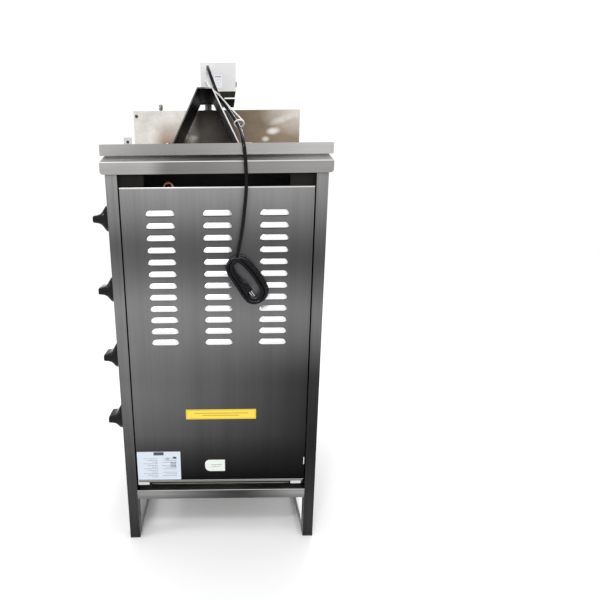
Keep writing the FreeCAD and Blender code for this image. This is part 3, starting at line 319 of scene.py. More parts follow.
def ceramic_look():
    """A pale burner tile: rows of small fire holes, scorched a little darker in patches."""
    look = Look("burner_ceramic", (0.8, 0.72, 0.62), 0.0, 0.85)
    upright = look.add("Mapping", {"Vector": look.add("TexCoord", {}, "Object"),
                                   "Rotation": (math.radians(90), 0, 0)})
    rows = look.add("TexBrick", {"Vector": upright, "Scale": 1.0, "Mortar Size": 0.0011, "Mortar Smooth": 0.3,
                                 "Brick Width": 0.0052, "Row Height": 0.0045}, "Fac")
    scorch = look.noise(22.0, 4.0)
    clay = look.mix(look.span(scorch, 0.0, 0.7, 0.42, 0.7), (0.82, 0.74, 0.63, 1), (0.42, 0.33, 0.27, 1))
    look.put("Base Color", look.mix(rows, (0.07, 0.05, 0.045, 1), clay))
    look.bump(rows, 0.0012, 0.8)
    return look


def shield_look():
    """The upright heat shield: straw-brown from heat towards one end, with a painted reflection that is dark
    in the middle behind the motor bridge and bright towards the other end, and painted glints.
    """
    look = Look("heat_tinted_steel", (0.6, 0.56, 0.5), 1.0, 0.22)
    low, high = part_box("heat_shield")
    x = look.sum(look.axis("X"), look.span(look.noise(9.0, 3.0), -0.02, 0.02))
    # the brown end is heat tint; the dark middle and the bright other end are painted reflection
    tint = look.ramp(look.span(x, 0.0, 1.0, -0.242, 0.242), [
        (0.0, (0.3, 0.23, 0.17)), (0.35, (0.18, 0.14, 0.1)), (0.45, (0.05, 0.045, 0.04)),
        (0.6, (0.08, 0.07, 0.06)), (0.72, (0.7, 0.67, 0.63))])
    burnt = look.sum(look.span(look.axis("Z"), 1.0, 0.0, low.z + 0.02, high.z - 0.015),
                     look.span(x, 1.0, 0.0, 0.155, 0.195), "MULTIPLY")
    burnt = look.sum(burnt, look.span(x, 0.0, 1.0, 0.075, 0.11), "MULTIPLY")
    tint = look.mix(burnt, tint, (0.3, 0.2, 0.14, 1))
    # painted glints: soft highlights painted into the colour
    painted_glints = [((-0.25, 0, 1.27), (0.13, 0.075), 0, 0.75), ((-0.2, 0, 1.25), (0.055, 0.013), 20, 0.75),
              ((-0.165, 0, 1.214), (0.024, 0.012), 5, 1.0), ((-0.143, 0, 1.192), (0.014, 0.009), 0, 0.8),
              ((0.08, 0, 1.197), (0.026, 0.011), 0, 1.0)]
    for centre, size, turn, strength in painted_glints:
        share = look.span(look.spot(centre, size, turn), 0.0, strength, 0.0, 0.7)
        tint = look.mix(share, tint, (0.72, 0.68, 0.63, 1))
    grain = look.noise((260.0, 260.0, 60.0), 4.0, 0.7)
    spots = look.noise((14.0, 14.0, 22.0), 3.0, 0.7)
    tone = look.sum(look.span(grain, -0.05, 0.05, 0.3, 0.7), look.span(spots, 0.88, 1.12, 0.3, 0.7))
    look.put("Base Color", look.mix(1.0, tint, look.grey(tone), "MULTIPLY"))
    look.put("Roughness", look.span(spots, 0.18, 0.36, 0.3, 0.7))
    look.bump(grain, 0.0002, 0.3)
    return look


def bridge_look():
    """The bent motor plate: a painted reflection, dark on one leg and bright low on the other, dark near the
    top, with a painted highlight on its rear-facing edge and a dimmed grazing reflection.
    """
    look = Look("bridge_steel", (0.1, 0.1, 0.1), 1.0, 0.4, Specular_Tint=(0.35, 0.35, 0.35, 1))
    fine = look.noise((90.0, 90.0, 12.0), 4.0, 0.6)
    height = look.span(look.axis("Z"), 0.0, 1.0, 1.15, 1.3)
    # painted reflection by height, one ramp for each leg
    left = look.ramp(height, [(0.0, 0.03), (0.3, 0.05), (0.5, 0.11), (0.7, 0.1), (0.82, 0.02), (1.0, 0.005)])
    right = look.ramp(height, [(0.0, 0.6), (0.5, 0.75), (0.74, 0.6), (0.82, 0.03), (1.0, 0.005)])
    broad = look.mix(look.span(look.axis("X"), 1.0, 0.0, -0.01, 0.01), left, right)
    # painted highlight on the rear-facing edge, mostly on one side
    cut = look.sum(look.span(look.facing("Y"), 0.0, 1.0, 0.8, 0.95),
                   look.span(look.axis("X"), 1.0, 0.1, 0.0, 0.03), "MULTIPLY")
    tone = look.mix(1.0, broad, look.grey(look.span(fine, 0.8, 1.2, 0.3, 0.7)), "MULTIPLY")
    look.put("Base Color", look.mix(cut, tone, (0.75, 0.74, 0.72, 1)))
    look.put("Roughness", look.span(fine, 0.3, 0.48, 0.3, 0.7))
    look.bump(fine, 0.0002, 0.3)
    return look


def cord_look():
    """Black PVC flex: smooth and scuffed, with a painted sheen on its upper side."""
    look = Look("cord_sheath", (0.004, 0.004, 0.006), 0.0, 0.2, Specular_IOR_Level=0.16)
    scuff = look.noise(160.0, 4.0, 0.7)
    base = look.mix(look.span(scuff, 0.0, 0.5, 0.5, 0.8), (0.002, 0.002, 0.003, 1), (0.012, 0.013, 0.017, 1))
    # painted sheen: upward faces turn pale grey-blue, broken up by the scuffs
    painted_sheen = look.sum(look.span(look.facing("Z"), 0.0, 1.0, 0.5, 0.95), look.span(scuff, 0.3, 1.0, 0.35, 0.6),
                     "MULTIPLY")
    look.put("Base Color", look.mix(painted_sheen, base, (0.13, 0.14, 0.17, 1)))
    look.put("Roughness", look.span(scuff, 0.08, 0.2, 0.3, 0.7))
    look.bump(scuff, 0.0001, 0.3)
    return look


def gloss_look(name, color, rough=0.09):
    """Moulded phenolic plastic with a clear gloss."""
    look = Look(name, color, 0.0, rough, Specular_IOR_Level=0.13)
    haze = look.noise(45.0, 4.0, 0.6)
    look.put("Roughness", look.span(haze, rough - 0.04, rough + 0.14, 0.35, 0.7))
    look.bump(look.noise(260.0, 2.0), 0.0001, 0.2)
    return look


def rubber_look():
    look = Look("foot_rubber", (0.02, 0.02, 0.021), 0.0, 0.7)
    grit = look.noise(380.0, 4.0, 0.7)
    look.put("Roughness", look.span(grit, 0.55, 0.85, 0.3, 0.7))
    look.bump(grit, 0.0004, 0.6)
    return look


def make_looks():
    """One material for each slot of the record, and a few that only some nodes or new pieces use."""
    looks = {
        "frame_steel": brushed("frame_steel", 0.2, painted_light_of=post_shade),
        "rail_steel": brushed("rail_steel", 0.14, "x", 0.3, painted_light_of=rail_shade),
        "floor_rail_steel": brushed("floor_rail_steel", 0.34, "y", 0.3),
        "sheet_steel": brushed("sheet_steel", 0.42, tint=(1.0, 0.99, 0.97)),
        "crown_steel": brushed("crown_steel", 0.5, "x", 0.3, 0.07, (1.0, 0.985, 0.965), crown_shade),
        "cover_steel": brushed("cover_steel", 0.2, rough=0.38, streak=0.07, painted_light_of=cover_shade),
        # a lit copy of the steel: painted highlight for the louvres' upturned hoods
        "lit_scoop_steel": brushed("lit_scoop_steel", 0.86, "x", 0.4, 0.03),
        "polished_steel": brushed("polished_steel", 0.72, rough=0.14, streak=0.06),
        "shield_steel": shield_look(),
        "dark_steel": brushed("dark_steel", 0.09, rough=0.36),
        "bridge_steel": bridge_look(),
        # the box's underside gets painted shade
        "box_paint": painted("box_paint", (0.66, 0.655, 0.665), 0.4, underside_shade=(0.05, 0.047, 0.038)),
        "motor_paint": painted("motor_paint", (0.035, 0.035, 0.038), 0.35),
        "gear_steel": metal("gear_steel", (0.36, 0.36, 0.37)),
        "spit_steel": brushed("spit_steel", 0.6, rough=0.2, streak=0.06),
        "bronze": metal("bronze", (0.6, 0.36, 0.14)),
        "burner_steel": metal("burner_steel", (0.32, 0.3, 0.28), 0.45, (0.16, 0.1, 0.06), 0.8, 14.0),
        "ceramic": ceramic_look(),
        "copper": metal("copper", (0.72, 0.3, 0.16), 0.26, (0.3, 0.12, 0.07), 0.6, 40.0),
        "valve_brass": metal("valve_brass", (0.72, 0.5, 0.2), 0.24),
        "black_pipe": painted("black_pipe", (0.02, 0.02, 0.021), 0.55, 260.0, 0.15),
        "knob_black": gloss_look("knob_black", (0.008, 0.008, 0.009)),
        "bright_trim": metal("bright_trim", (0.74, 0.74, 0.73), 0.16),
        "foot_rubber": rubber_look(),
        "cord_black": cord_look(),
        "gland_plastic": painted("gland_plastic", (0.74, 0.69, 0.6), 0.45, 300.0),
        "white_wire": painted("white_wire", (0.74, 0.74, 0.73), 0.3, 500.0),
        "switch_black": gloss_look("switch_black", (0.01, 0.01, 0.011), 0.2),
        "gear_case": metal("gear_case", (0.1, 0.09, 0.075), 0.35),
        "bracket_steel": brushed("bracket_steel", 0.02, tint=(1.0, 0.93, 0.86)),
        # a lit copy of the sheet steel: painted highlight on the cover's bends, edges and the louvres' rims;
        # small tabs, a clip and a bracket use it too
        "edge_steel": brushed("edge_steel", 0.62, "x", 0.3, 0.05),
        "hem_steel": brushed("hem_steel", 0.22, "x", 0.3, 0.06, (1.0, 0.97, 0.93)),
        # painted shade: a dark specular tint dims the plate's grazing reflection, so its underside reads as
        # in shade
        "plate_steel": brushed("plate_steel", 0.075, "x", 0.3, 0.1, (1.0, 0.97, 0.9),
                               Specular_Tint=(0.05, 0.05, 0.05, 1)),
        # painted shade: near-black for the louvres' insides, the strips under them, the back of the cover and
        # the throat plate
        "dark_inside": painted("dark_inside", (0.012, 0.012, 0.012), 0.7),
        "label_paper": painted("label_paper", (0.6, 0.66, 0.74), 0.55, 200.0, 0.03),
        "pale_paper": painted("pale_paper", (0.78, 0.8, 0.83), 0.55, 200.0, 0.03),
        "label_grey": painted("label_grey", (0.3, 0.33, 0.36), 0.5),
        "label_ink": painted("label_ink", (0.05, 0.055, 0.065), 0.5),
        "label_yellow": painted("label_yellow", (0.83, 0.62, 0.05), 0.42, 200.0, 0.04),
        "label_ochre": painted("label_ochre", (0.4, 0.28, 0.03), 0.5),
        "sticker_paper": painted("sticker_paper", (0.72, 0.76, 0.72), 0.6, 160.0, 0.05),
    }
    return {name: look.material for name, look in looks.items()}


SPECIAL = {"cross_rails": "rail_steel", "floor_rails": "floor_rail_steel", "pan_rails": "floor_rail_steel",
           "crown_frame": "crown_steel", "table_top": "crown_steel", "heat_shield": "shield_steel",
           "motor_bridge": "bridge_steel", "drive_plate": "plate_steel", "cover_brackets": "bracket_steel",
           "gear_housing": "gear_case", "gear_housing_lid": "gear_case", "drive_socket": "dark_steel"}


def dress_nodes():
    """Every CAD node that stays gets the material of its slot, or one of its own."""
    for name, shown in NODES.items():
        for place in shown.material_slots:
            slot = place.material.name.split(".")[0]
            place.material = LOOKS[SPECIAL.get(name, slot)]


# ---------------------------------------------------------------- shapes

def new_piece(name, data, slots, body="root", smooth=None):
    """A mesh or curve object with these materials, riding on a body."""
    piece = bpy.data.objects.new(name, data)
    bpy.context.scene.collection.objects.link(piece)
    for slot in slots:
        data.materials.append(LOOKS[slot])
    if smooth is not None:
        data.shade_smooth()
        data.set_sharp_from_angle(angle=math.radians(smooth))
    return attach(piece, body)


class Shape:
    """Points and faces collected for one mesh; each face has the number of its material slot."""

    def __init__(self):
        self.points, self.faces, self.slots = [], [], []

    def face(self, numbers, slot=0):
        self.faces.append(tuple(numbers))
        self.slots.append(slot)

    def ring(self, points):
        """Adds points and returns their numbers."""
        start = len(self.points)
        self.points += [tuple(point) for point in points]
        return list(range(start, len(self.points)))

    def loft(self, rings, slot=0, closed=True, caps=True):
        """Faces between rings of equal count, and caps at both ends."""
        numbers = [self.ring(ring) for ring in rings]
        for low, high in zip(numbers, numbers[1:]):
            count = len(low)
            for i in range(count if closed else count - 1):
                j = (i + 1) % count
                self.face((low[i], low[j], high[j], high[i]), slot)
        if caps:
            self.face(reversed(numbers[0]), slot)
            self.face(numbers[-1], slot)
        return numbers

    def box(self, low, high, slot=0):
        (x, y, z), (u, v, w) = low, high
        self.loft([[(x, y, h), (u, y, h), (u, v, h), (x, v, h)] for h in (z, w)], slot)

    def mesh(self, name):
        data = bpy.data.meshes.new(name)
        data.from_pydata(self.points, [], self.faces)
        data.polygons.foreach_set("material_index", self.slots)
        kit = bmesh.new()
        kit.from_mesh(data)
        bmesh.ops.recalc_face_normals(kit, faces=kit.faces)
        kit.to_mesh(data)
        kit.free()
        return data


def superellipse(wide, tall, power, count=40):
    """A closed outline from a circle (power 2) to a rounded rectangle (power 5 and up), as (u, v) pairs."""
    points = []
    for i in range(count):
        angle = 2 * math.pi * i / count
        c, s = math.cos(angle), math.sin(angle)
        points.append((wide * math.copysign(abs(c) ** (2 / power), c),
                       tall * math.copysign(abs(s) ** (2 / power), s)))
    return points


# ---------------------------------------------------------------- the power cord, its plug and its restraint

MM = 0.001
CORD_ROUTE = [
    (23, 103, 1371), (23, 127, 1371), (21, 149, 1363), (16, 166, 1346), (9, 178, 1323),
    (0, 188, 1299), (-11, 200, 1275), (-35, 222, 1240), (-54, 246, 1207), (-62, 274, 1183),
    (-66, 300, 1160), (-70, 308, 1127), (-73, 305, 1082), (-73, 302, 1040), (-69, 300, 1000),
    (-65, 300, 958), (-58, 300, 919), (-51, 301, 881)]
WIRE_ROUTE = [
    (30, 77, 1343), (29, 96, 1342), (26, 118, 1336), (21, 146, 1323), (15, 172, 1309), (6, 194, 1297),
    (-10, 212, 1280), (-33, 228, 1252), (-52, 237, 1232), (-69, 244, 1214)]
CORD_THICK, WIRE_THICK = 9.0, 3.5
COIL_AT, COIL_TILT = Vector((-73, 301.5, 817)), math.radians(55)
COIL_LONG = Vector((math.cos(COIL_TILT), 0, math.sin(COIL_TILT)))
COIL_WIDE = Vector((-math.sin(COIL_TILT), 0, math.cos(COIL_TILT)))
PLUG_AT = Vector((-70.5, 303, 800))


def in_coil(along, across, out):
    """A point of the coil: along its long axis, across it, and out from the cover, in millimetres."""
    return COIL_AT + COIL_LONG * along + COIL_WIDE * across + Vector((0, out, 0))


def coil_points():
    """Four hand-wound turns, fanned out on one side and bundled on the other, that end in the plug's tail."""
    fanned = [(33.5, -3.5), (24.0, -5.0), (29.0, 5.0), (19.5, 4.5)]
    bundled = [(27.0, -4.5), (18.5, -5.0), (27.5, 4.5), (19.0, 4.5)]
    half_run, weave, left_slack, top_slack = 37.0, 1.2, 3.0, 4.5
    # six points round each end, and one halfway along each side, as (angle, shift along the coil)
    once_round = [(angle, half_run) for angle in (15, -15, -45, -75)]
    once_round += [(-90, 0.0)] + [(angle, -half_run) for angle in range(-105, -256, -30)]
    once_round += [(90, 0.0), (75, half_run), (45, half_run)]
    points = []
    for turn in range(4):
        for step, (angle, shift) in enumerate(once_round):
            side = math.sin(math.radians(angle))
            blend = (1 + side) / 2
            wide, out = [(1 - blend) * a + blend * b for a, b in zip(bundled[turn], fanned[turn])]
            wide += left_slack if shift < 0 else (top_slack if angle == 90 else 0.0)
            beat = step if step < 4 else step - 1
            points.append(in_coil(shift + wide * math.cos(math.radians(angle)), wide * side,
                                  out + weave * math.sin(beat + 2 * turn)))
    tail = [(53, 17, 2.5), (60, 5, 1.5), (55, -7, 1), (43, -12.5, 1), (30, -13, 1), (17, -12.3, 1.2),
            (6, -11.8, 1.5)]
    # the hanging stretch already leads to the first point
    return points[1:] + [in_coil(*spot) for spot in tail]


def smooth_curve(name, points, thick, slot, corners=6):
    """A round cord along one smooth spline, whose control points are these, in millimetres."""
    data = bpy.data.curves.new(name, "CURVE")
    data.dimensions, data.bevel_depth, data.bevel_resolution = "3D", thick * MM / 2, corners
    data.use_fill_caps, data.resolution_u = True, 8
    spline = data.splines.new("NURBS")
    spline.points.add(len(points) - 1)
    for point, place in zip(spline.points, points):
        point.co = (*(Vector(place) * MM), 1.0)
    spline.order_u = 3
    spline.use_endpoint_u = True
    return new_piece(name, data, [slot])


def plug_frame():
    """From the plug's axes to the machine's: X back along the cord, Y across the blades, Z to the cover."""
    turn = Matrix((COIL_LONG, COIL_WIDE, (0, -1, 0))).transposed()
    return Matrix.Translation(PLUG_AT * MM) @ turn.to_4x4()


def make_plug():
    """A moulded three-pin plug: a waisted grip, a ribbed strain relief, two flat blades and a round pin."""
    shape = Shape()
    grip = [(-17, 11.2, 9.2, 5), (-16.4, 12, 10, 5), (-8, 12, 10, 5), (-2, 10.6, 8.6, 4),
            (4, 10.2, 8.2, 4), (9, 9.6, 7.6, 3), (12, 7.6, 6.8, 2.4), (14, 6.4, 6.2, 2)]
    relief = []
    for rib in range(4):
        start, wide, narrow = 14.6 + 2.6 * rib, 5.9 - 0.25 * rib, 4.9
        relief += [(start, wide, wide, 2), (start + 1.5, wide, wide, 2),
                   (start + 1.7, narrow, narrow, 2), (start + 2.4, narrow, narrow, 2)]
    shape.loft([[(x * MM, u * MM, v * MM) for u, v in superellipse(wide, thick, power, 32)]
                for x, wide, thick, power in grip + relief])
    for ridge in range(5):
        place = -12.5 + 2.2 * ridge
        for face in (1, -1):
            low, high = sorted((face * 9.6, face * 10.4))
            shape.box((place * MM, -8 * MM, low * MM), ((place + 1.1) * MM, 8 * MM, high * MM))
    blade_out, blade_level, pin_level = 6.35, -2, 6
    for side in (-1, 1):
        middle = side * blade_out
        shape.loft([[(x * MM, (middle + u) * MM, (v + blade_level) * MM)
                     for u, v in superellipse(0.8, tall, 8, 16)]
                    for x, tall in ((-16.5, 3.15), (-33, 3.15), (-35, 2.4))], 1)
    shape.loft([[(x * MM, u * MM, (pin_level + v) * MM) for u, v in superellipse(wide, wide, 2, 16)]
                for x, wide in ((-16.5, 2.4), (-34.5, 2.4), (-37, 1.2))], 1)
    data = shape.mesh("plug_moulding")
    data.transform(plug_frame())
    piece = new_piece("plug_moulding", data, ["cord_black", "bright_trim"], smooth=35)
    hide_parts("plug")
    return piece


def make_gland():
    """A pale cable gland: hexagon nut, round cap and a tapered, ringed strain relief."""
    shape = Shape()
    centre_x, centre_z, around = 23, 1371, 24
    hexagon = 6
    stations = [(77, 8.0, hexagon), (79.5, 8.0, hexagon), (80, 7.3, around), (87, 7.3, around),
                (88.5, 6.6, around)]
    for ring in range(4):
        start, wide = 89.0 + 3.3 * ring, 6.4 - 0.35 * ring
        stations += [(start, wide, around), (start + 1.9, wide, around),
                     (start + 2.1, wide - 0.9, around), (start + 3.1, wide - 0.9, around)]
    stations += [(102.4, 5.3, around), (103, 4.9, around)]
    rings = []
    for out, wide, corners in stations:
        ring = []
        for i in range(around):
            angle = 2 * math.pi * i / around
            reach = wide
            if corners == hexagon:
                reach = wide * math.cos(math.pi / 6) / math.cos(angle % (math.pi / 3) - math.pi / 6)
            spot = (centre_x + reach * math.cos(angle), out, centre_z + reach * math.sin(angle))
            ring.append(Vector(spot) * MM)
        rings.append(ring)
    shape.loft(rings)
    piece = new_piece("gland_moulding", shape.mesh("gland_moulding"), ["gland_plastic"], smooth=30)
    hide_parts("cord_gland")
    return piece


def make_restraint():
    """The wire's crimped ring round the power cord."""
    centre, round_, thin = Vector((-58, 245.4, 1208.8)), 12.0, WIRE_THICK / 2
    lean = Matrix.Rotation(math.radians(38), 3, "X")
    count, corners = 48, 12
    turns = [2 * math.pi * j / corners for j in range(corners)]
    rings = []
    for i in range(count):
        angle = 2 * math.pi * i / count
        radial = Vector((math.cos(angle), math.sin(angle), 0))
        ring = []
        for turn in turns:
            spot = radial * (round_ + thin * math.cos(turn)) + Vector((0, 0, thin * math.sin(turn)))
            ring.append((centre + lean @ spot) * MM)
        rings.append(ring)
    rings.append(rings[0])
    shape = Shape()
    shape.loft(rings, caps=False)
    return new_piece("restraint_ring", shape.mesh("restraint_ring"), ["white_wire"], smooth=60)


def make_cords():
    plug, gland, ring = make_plug(), make_gland(), make_restraint()
    cord = smooth_curve("mains_cord", CORD_ROUTE + coil_points(), CORD_THICK, "cord_black", 8)
    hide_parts("power_cord", "cord_coil")
    wire = smooth_curve("restraint_wire", WIRE_ROUTE, WIRE_THICK, "white_wire", 4)
    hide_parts("cord_restraint")


# ---------------------------------------------------------------- the louvred rear cover

FACE = 0.280                      # the cover's outer face
SHEET = 0.0010
SCOOP_LONG, SCOOP_TALL, SCOOP_PROUD = 0.077, 0.0138, 0.0056
SCOOP_FIRST, SCOOP_PITCH, SCOOP_ROWS, COLUMN_STEP = 0.641, 0.03175, 12, 0.1475
SCOOP_DROP = 0.0006               # a hood's middle lies this far below its slot's
TABS, TAB_TALL = ((0.2150, 0.2480), (-0.2406, -0.2100)), 0.0160


def add_scoop(shape, x, z):
    """One pressed louvre: a hood with drawn, rounded ends, open at the bottom, lit outside with a painted
    highlight, dark inside with painted shade, over a strip of painted shadow.
    """
    columns, rows = 22, 7
    half, corner, edge = SCOOP_LONG / 2, 0.0105, 0.0095
    sheets = []
    for inner in (0.0, 1.0):
        grid = []
        for row in range(rows + 1):
            share = row / rows
            width = half - corner * (0.3 * share + 0.7 * (1 - math.sqrt(1 - share * share))) - 0.0008 * inner
            width -= 0.003 * max(0.0, 1 - share / 0.3) ** 2
            line = []
            for column in range(columns + 1):
                across = math.sin(math.pi / 2 * (2 * column / columns - 1))
                from_end = min(1.0, width * (1 - abs(across)) / edge)
                swell = math.cos(math.pi / 2 * share) ** 0.8 * math.sin(math.pi / 2 * from_end) ** 0.8
                proud = max(0.00005, SCOOP_PROUD * swell - 0.0009 * inner)
                line.append((x + width * across, FACE + proud,
                             z - SCOOP_TALL / 2 + share * (SCOOP_TALL - 0.0006 * inner)))
            grid.append(line)
        # the outer sheet gets the lit copy of the steel, a painted highlight; the inner sheet gets painted
        # shade
        sheets.append(shape.loft(grid, 2 if inner else 1, closed=False, caps=False))
    outer, inner = sheets[0][0], sheets[1][0]
    # the mouth's rim gets the lit edge steel, a painted highlight
    for i in range(columns):
        shape.face((outer[i], outer[i + 1], inner[i + 1], inner[i]), 3)
    # a strip of painted shadow under the hood's mouth
    low, reach, shadow_drop = z - SCOOP_TALL / 2, half - 0.001, 0.0024
    shape.face(shape.ring([(x - reach, FACE + 0.00015, low), (x + reach, FACE + 0.00015, low),
                           (x + reach - 0.003, FACE + 0.00015, low - shadow_drop),
                           (x - reach + 0.003, FACE + 0.00015, low - shadow_drop)]), 2)


def make_cover():
    """The removable rear cover, folded at its top and bottom edges, with three columns of louvres."""
    low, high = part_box("rear_cover")
    bend, steps = 0.0022, 5
    outer, inner = [Vector((0, low.y, high.z))], [Vector((0, low.y, high.z - SHEET))]
    for side, level in ((1, high.z), (-1, low.z)):
        centre = Vector((0, FACE - bend, level - side * bend))
        turns = [math.pi / 2 * (1 - i / steps) for i in range(steps + 1)]
        for turn in (turns if side > 0 else reversed(turns)):
            away = Vector((0, math.cos(turn), side * math.sin(turn)))
            outer.append(centre + away * bend)
            inner.append(centre + away * (bend - SHEET))
    outer.append(Vector((0, low.y, low.z)))
    inner.append(Vector((0, low.y, low.z + SHEET)))
    shape = Shape()
    sides = []
    for x in (low.x, high.x):
        sides.append([shape.ring([point + Vector((x, 0, 0)) for point in line]) for line in (outer, inner)])
    (left_out, left_in), (right_out, right_in) = sides
    for i in range(len(outer) - 1):
        # the bends, returns and cut edges get the lit edge steel: a painted highlight
        edge = 3 if i != steps + 1 else 0
        shape.face((left_out[i], left_out[i + 1], right_out[i + 1], right_out[i]), edge)
        # the back of the sheet gets painted shade
        shape.face((left_in[i + 1], left_in[i], right_in[i], right_in[i + 1]), 2)
        shape.face((left_out[i + 1], left_out[i], left_in[i], left_in[i + 1]), 3)
        shape.face((right_out[i], right_out[i + 1], right_in[i + 1], right_in[i]), 3)
    for i in (0, -1):
        shape.face((left_out[i], right_out[i], right_in[i], left_in[i]), 3)
    for column in (-1, 0, 1):
        for row in range(SCOOP_ROWS):
            add_scoop(shape, column * COLUMN_STEP, SCOOP_FIRST - SCOOP_DROP + row * SCOOP_PITCH)
    # a strip of painted highlight along the top fold
    fold_highlight_low, fold_highlight_high, proud = high.z - 0.0042, high.z - 0.0042 + 0.0022, FACE + 0.0001
    shape.face(shape.ring([(low.x, proud, z) for z in (fold_highlight_low, fold_highlight_high)]
                          + [(high.x, proud, z) for z in (fold_highlight_high, fold_highlight_low)]), 3)
    hem_in, hem_low, hem_high = 0.003, low.z - 0.0062, low.z - 0.0002
    shape.box((low.x + hem_in, FACE - 0.0030, hem_low), (high.x - hem_in, FACE - 0.0018, hem_high), 4)
    for left, right in TABS:
        shape.box((left, FACE - 0.0042, low.z - TAB_TALL), (right, FACE - 0.0032, low.z - 0.0010), 3)
    cover = new_piece("louvred_cover", shape.mesh("louvred_cover"),
                      ["cover_steel", "lit_scoop_steel", "dark_inside", "edge_steel", "hem_steel"], smooth=40)
    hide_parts("rear_cover")


# ---------------------------------------------------------------- the gas knobs

KNOB_BASE = 0.286                 # where a knob's skirt starts, clear of the side panel


def make_knob(number):
    """A skirted knob whose dome draws in to a grip bar, over its steel stem, with an inlaid pointer."""
    name = f"control_knob_{number}"
    low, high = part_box(name)
    y, z = (low.y + high.y) / 2, (low.z + high.z) / 2
    base = KNOB_BASE
    stations = [(0.0, 33.6, 33.6, 2), (0.8, 34.8, 34.8, 2), (11.0, 35, 35, 2), (13.0, 34.4, 34.0, 2),
                (15.5, 33.4, 30.0, 2.1), (18.0, 32.8, 26.0, 2.2), (21.0, 32.3, 20.0, 2.4),
                (25.0, 31.9, 15.5, 2.8), (30.0, 31.4, 12.5, 3.4), (36.0, 30.9, 10.6, 4.5),
                (42.0, 30.3, 9.9, 5), (43.4, 29.4, 9.1, 5), (44.0, 27.8, 7.6, 5)]
    stem, into = 4.0, 0.002
    inlay = [(14, -1.1), (26, -1.1), (26, 1.1), (14, 1.1)]
    shape = Shape()
    shape.loft([[(base + out * MM, y + u * MM, z + v * MM) for u, v in superellipse(wide, thick, power, 56)]
                for out, wide, thick, power in stations])
    shape.loft([[(x, y + u * MM, z + v * MM) for u, v in superellipse(stem, stem, 2, 20)]
                for x in (low.x, base + into)], 1)
    tip = base + stations[-1][0] * MM
    shape.loft([[(tip + rise, y + a * MM, z + b * MM) for a, b in inlay] for rise in (-0.0004, 0.0)], 2)
    knob = new_piece(f"gas_knob_{number}", shape.mesh(f"gas_knob_{number}"),
                     ["knob_black", "bright_trim", "white_wire"], f"knob_{number}", smooth=35)
    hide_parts(name)


# ---------------------------------------------------------------- labels and small fittings

def make_label(name, x, z, slots, marks, corner=0.0015, face=FACE, cut=None):
    """A thin card on a rear-facing surface. Marks are (x, z, width, height, slot number) from its middle."""
    shape = Shape()
    middle = ((x[0] + x[1]) / 2, (z[0] + z[1]) / 2)
    wide, tall = (x[1] - x[0]) / 2, (z[1] - z[0]) / 2
    outline = []
    for quarter, (side, up) in enumerate(((1, 1), (-1, 1), (-1, -1), (1, -1))):
        round_ = cut.get((side, up), corner) if cut else corner
        for step in range(7):
            angle = math.radians(90 * quarter + 15 * step)
            outline.append((middle[0] + side * (wide - round_) + round_ * math.cos(angle),
                            middle[1] + up * (tall - round_) + round_ * math.sin(angle)))
    shape.loft([[(a, face + out, b) for a, b in outline] for out in (0.0001, 0.0004)])
    print_face = face + 0.00045
    for a, b, width, height, number in marks:
        left, bottom = middle[0] + a - width / 2, middle[1] + b - height / 2
        right, top = left + width, bottom + height
        shape.face(shape.ring([(left, print_face, bottom), (right, print_face, bottom),
                               (right, print_face, top), (left, print_face, top)]), number)
    new_piece(name, shape.mesh(name), slots)


def dashes(rng, left, right, level, height, gap=0.0012):
    """A row of short strokes, as unreadable small print, from one side to the other."""
    marks, spot = [], left
    while spot < right - 0.002:
        long = min(rng.uniform(0.003, 0.009), right - spot)
        marks.append((spot + long / 2, level, long, height, 1))
        spot += long + gap
    return marks


def rating_marks(rng):
    """Two columns of small print under a heading, with a square of dots and three short bars."""
    marks = [(0.0, 0.0402, 0.030, 0.0105, 1)]
    for row in range(12):
        level = 0.024 - 0.0056 * row
        marks += dashes(rng, 0.004, 0.046 - 0.012 * (row % 3), level, 0.0011)
        if row % 4 != 3:
            marks += dashes(rng, -0.052, -0.010 - 0.008 * (row % 2), level - 0.001, 0.0010)
    pitch, dot = 0.0042, 0.0026
    marks += [(-0.0485 + pitch * column, 0.0100 - pitch * row, dot, dot, 1)
              for column in range(4) for row in range(4)]
    return marks + [(-0.047, 0.027, 0.010, 0.006, 1), (-0.026, 0.026, 0.011, 0.0012, 1),
                    (-0.026, 0.021, 0.009, 0.0012, 1)]


def service_marks(rng):
    """Two rows of strokes inside a thin frame."""
    row, tall, gap = 0.0035, 0.0026, 0.0009
    marks = dashes(rng, -0.078, 0.078, row, tall, gap) + dashes(rng, -0.052, 0.055, -row, tall, gap)
    marks += [(0, side * 0.0132, 0.198, 0.0012, 1) for side in (-1, 1)]
    return marks + [(side * 0.0985, 0, 0.0012, 0.026, 1) for side in (-1, 1)]


def make_labels():
    """Four blank cards with strokes in place of print, from one seeded generator."""
    rng = random.Random(12)
    make_label("rating_plate", (0.1185, 0.2468), (0.206, 0.2998), ["label_paper", "label_ink"],
               rating_marks(rng))
    make_label("service_strip", (-0.104, 0.0979), (0.4045, 0.4352), ["label_yellow", "label_ochre"],
               service_marks(rng))
    sticker = dashes(rng, -0.020, 0.012, 0.002, 0.0016) + dashes(rng, -0.014, 0.010, -0.004, 0.0010)
    make_label("paper_sticker", (-0.0131, 0.0458), (0.2334, 0.2713), ["sticker_paper", "label_ink"], sticker,
               cut={(1, 1): 0.013, (1, -1): 0.016})
    box_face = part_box("control_box")[1].y
    header = [(0, 0.0125, 0.018, 0.0035, 1)]
    header += [(0, 0.006 - 0.004 * row, 0.016, 0.0008, 1) for row in range(5)]
    make_label("box_label", (-0.0162, 0.006), (1.328, 1.3615), ["pale_paper", "label_grey"], header,
               corner=0.001, face=box_face)


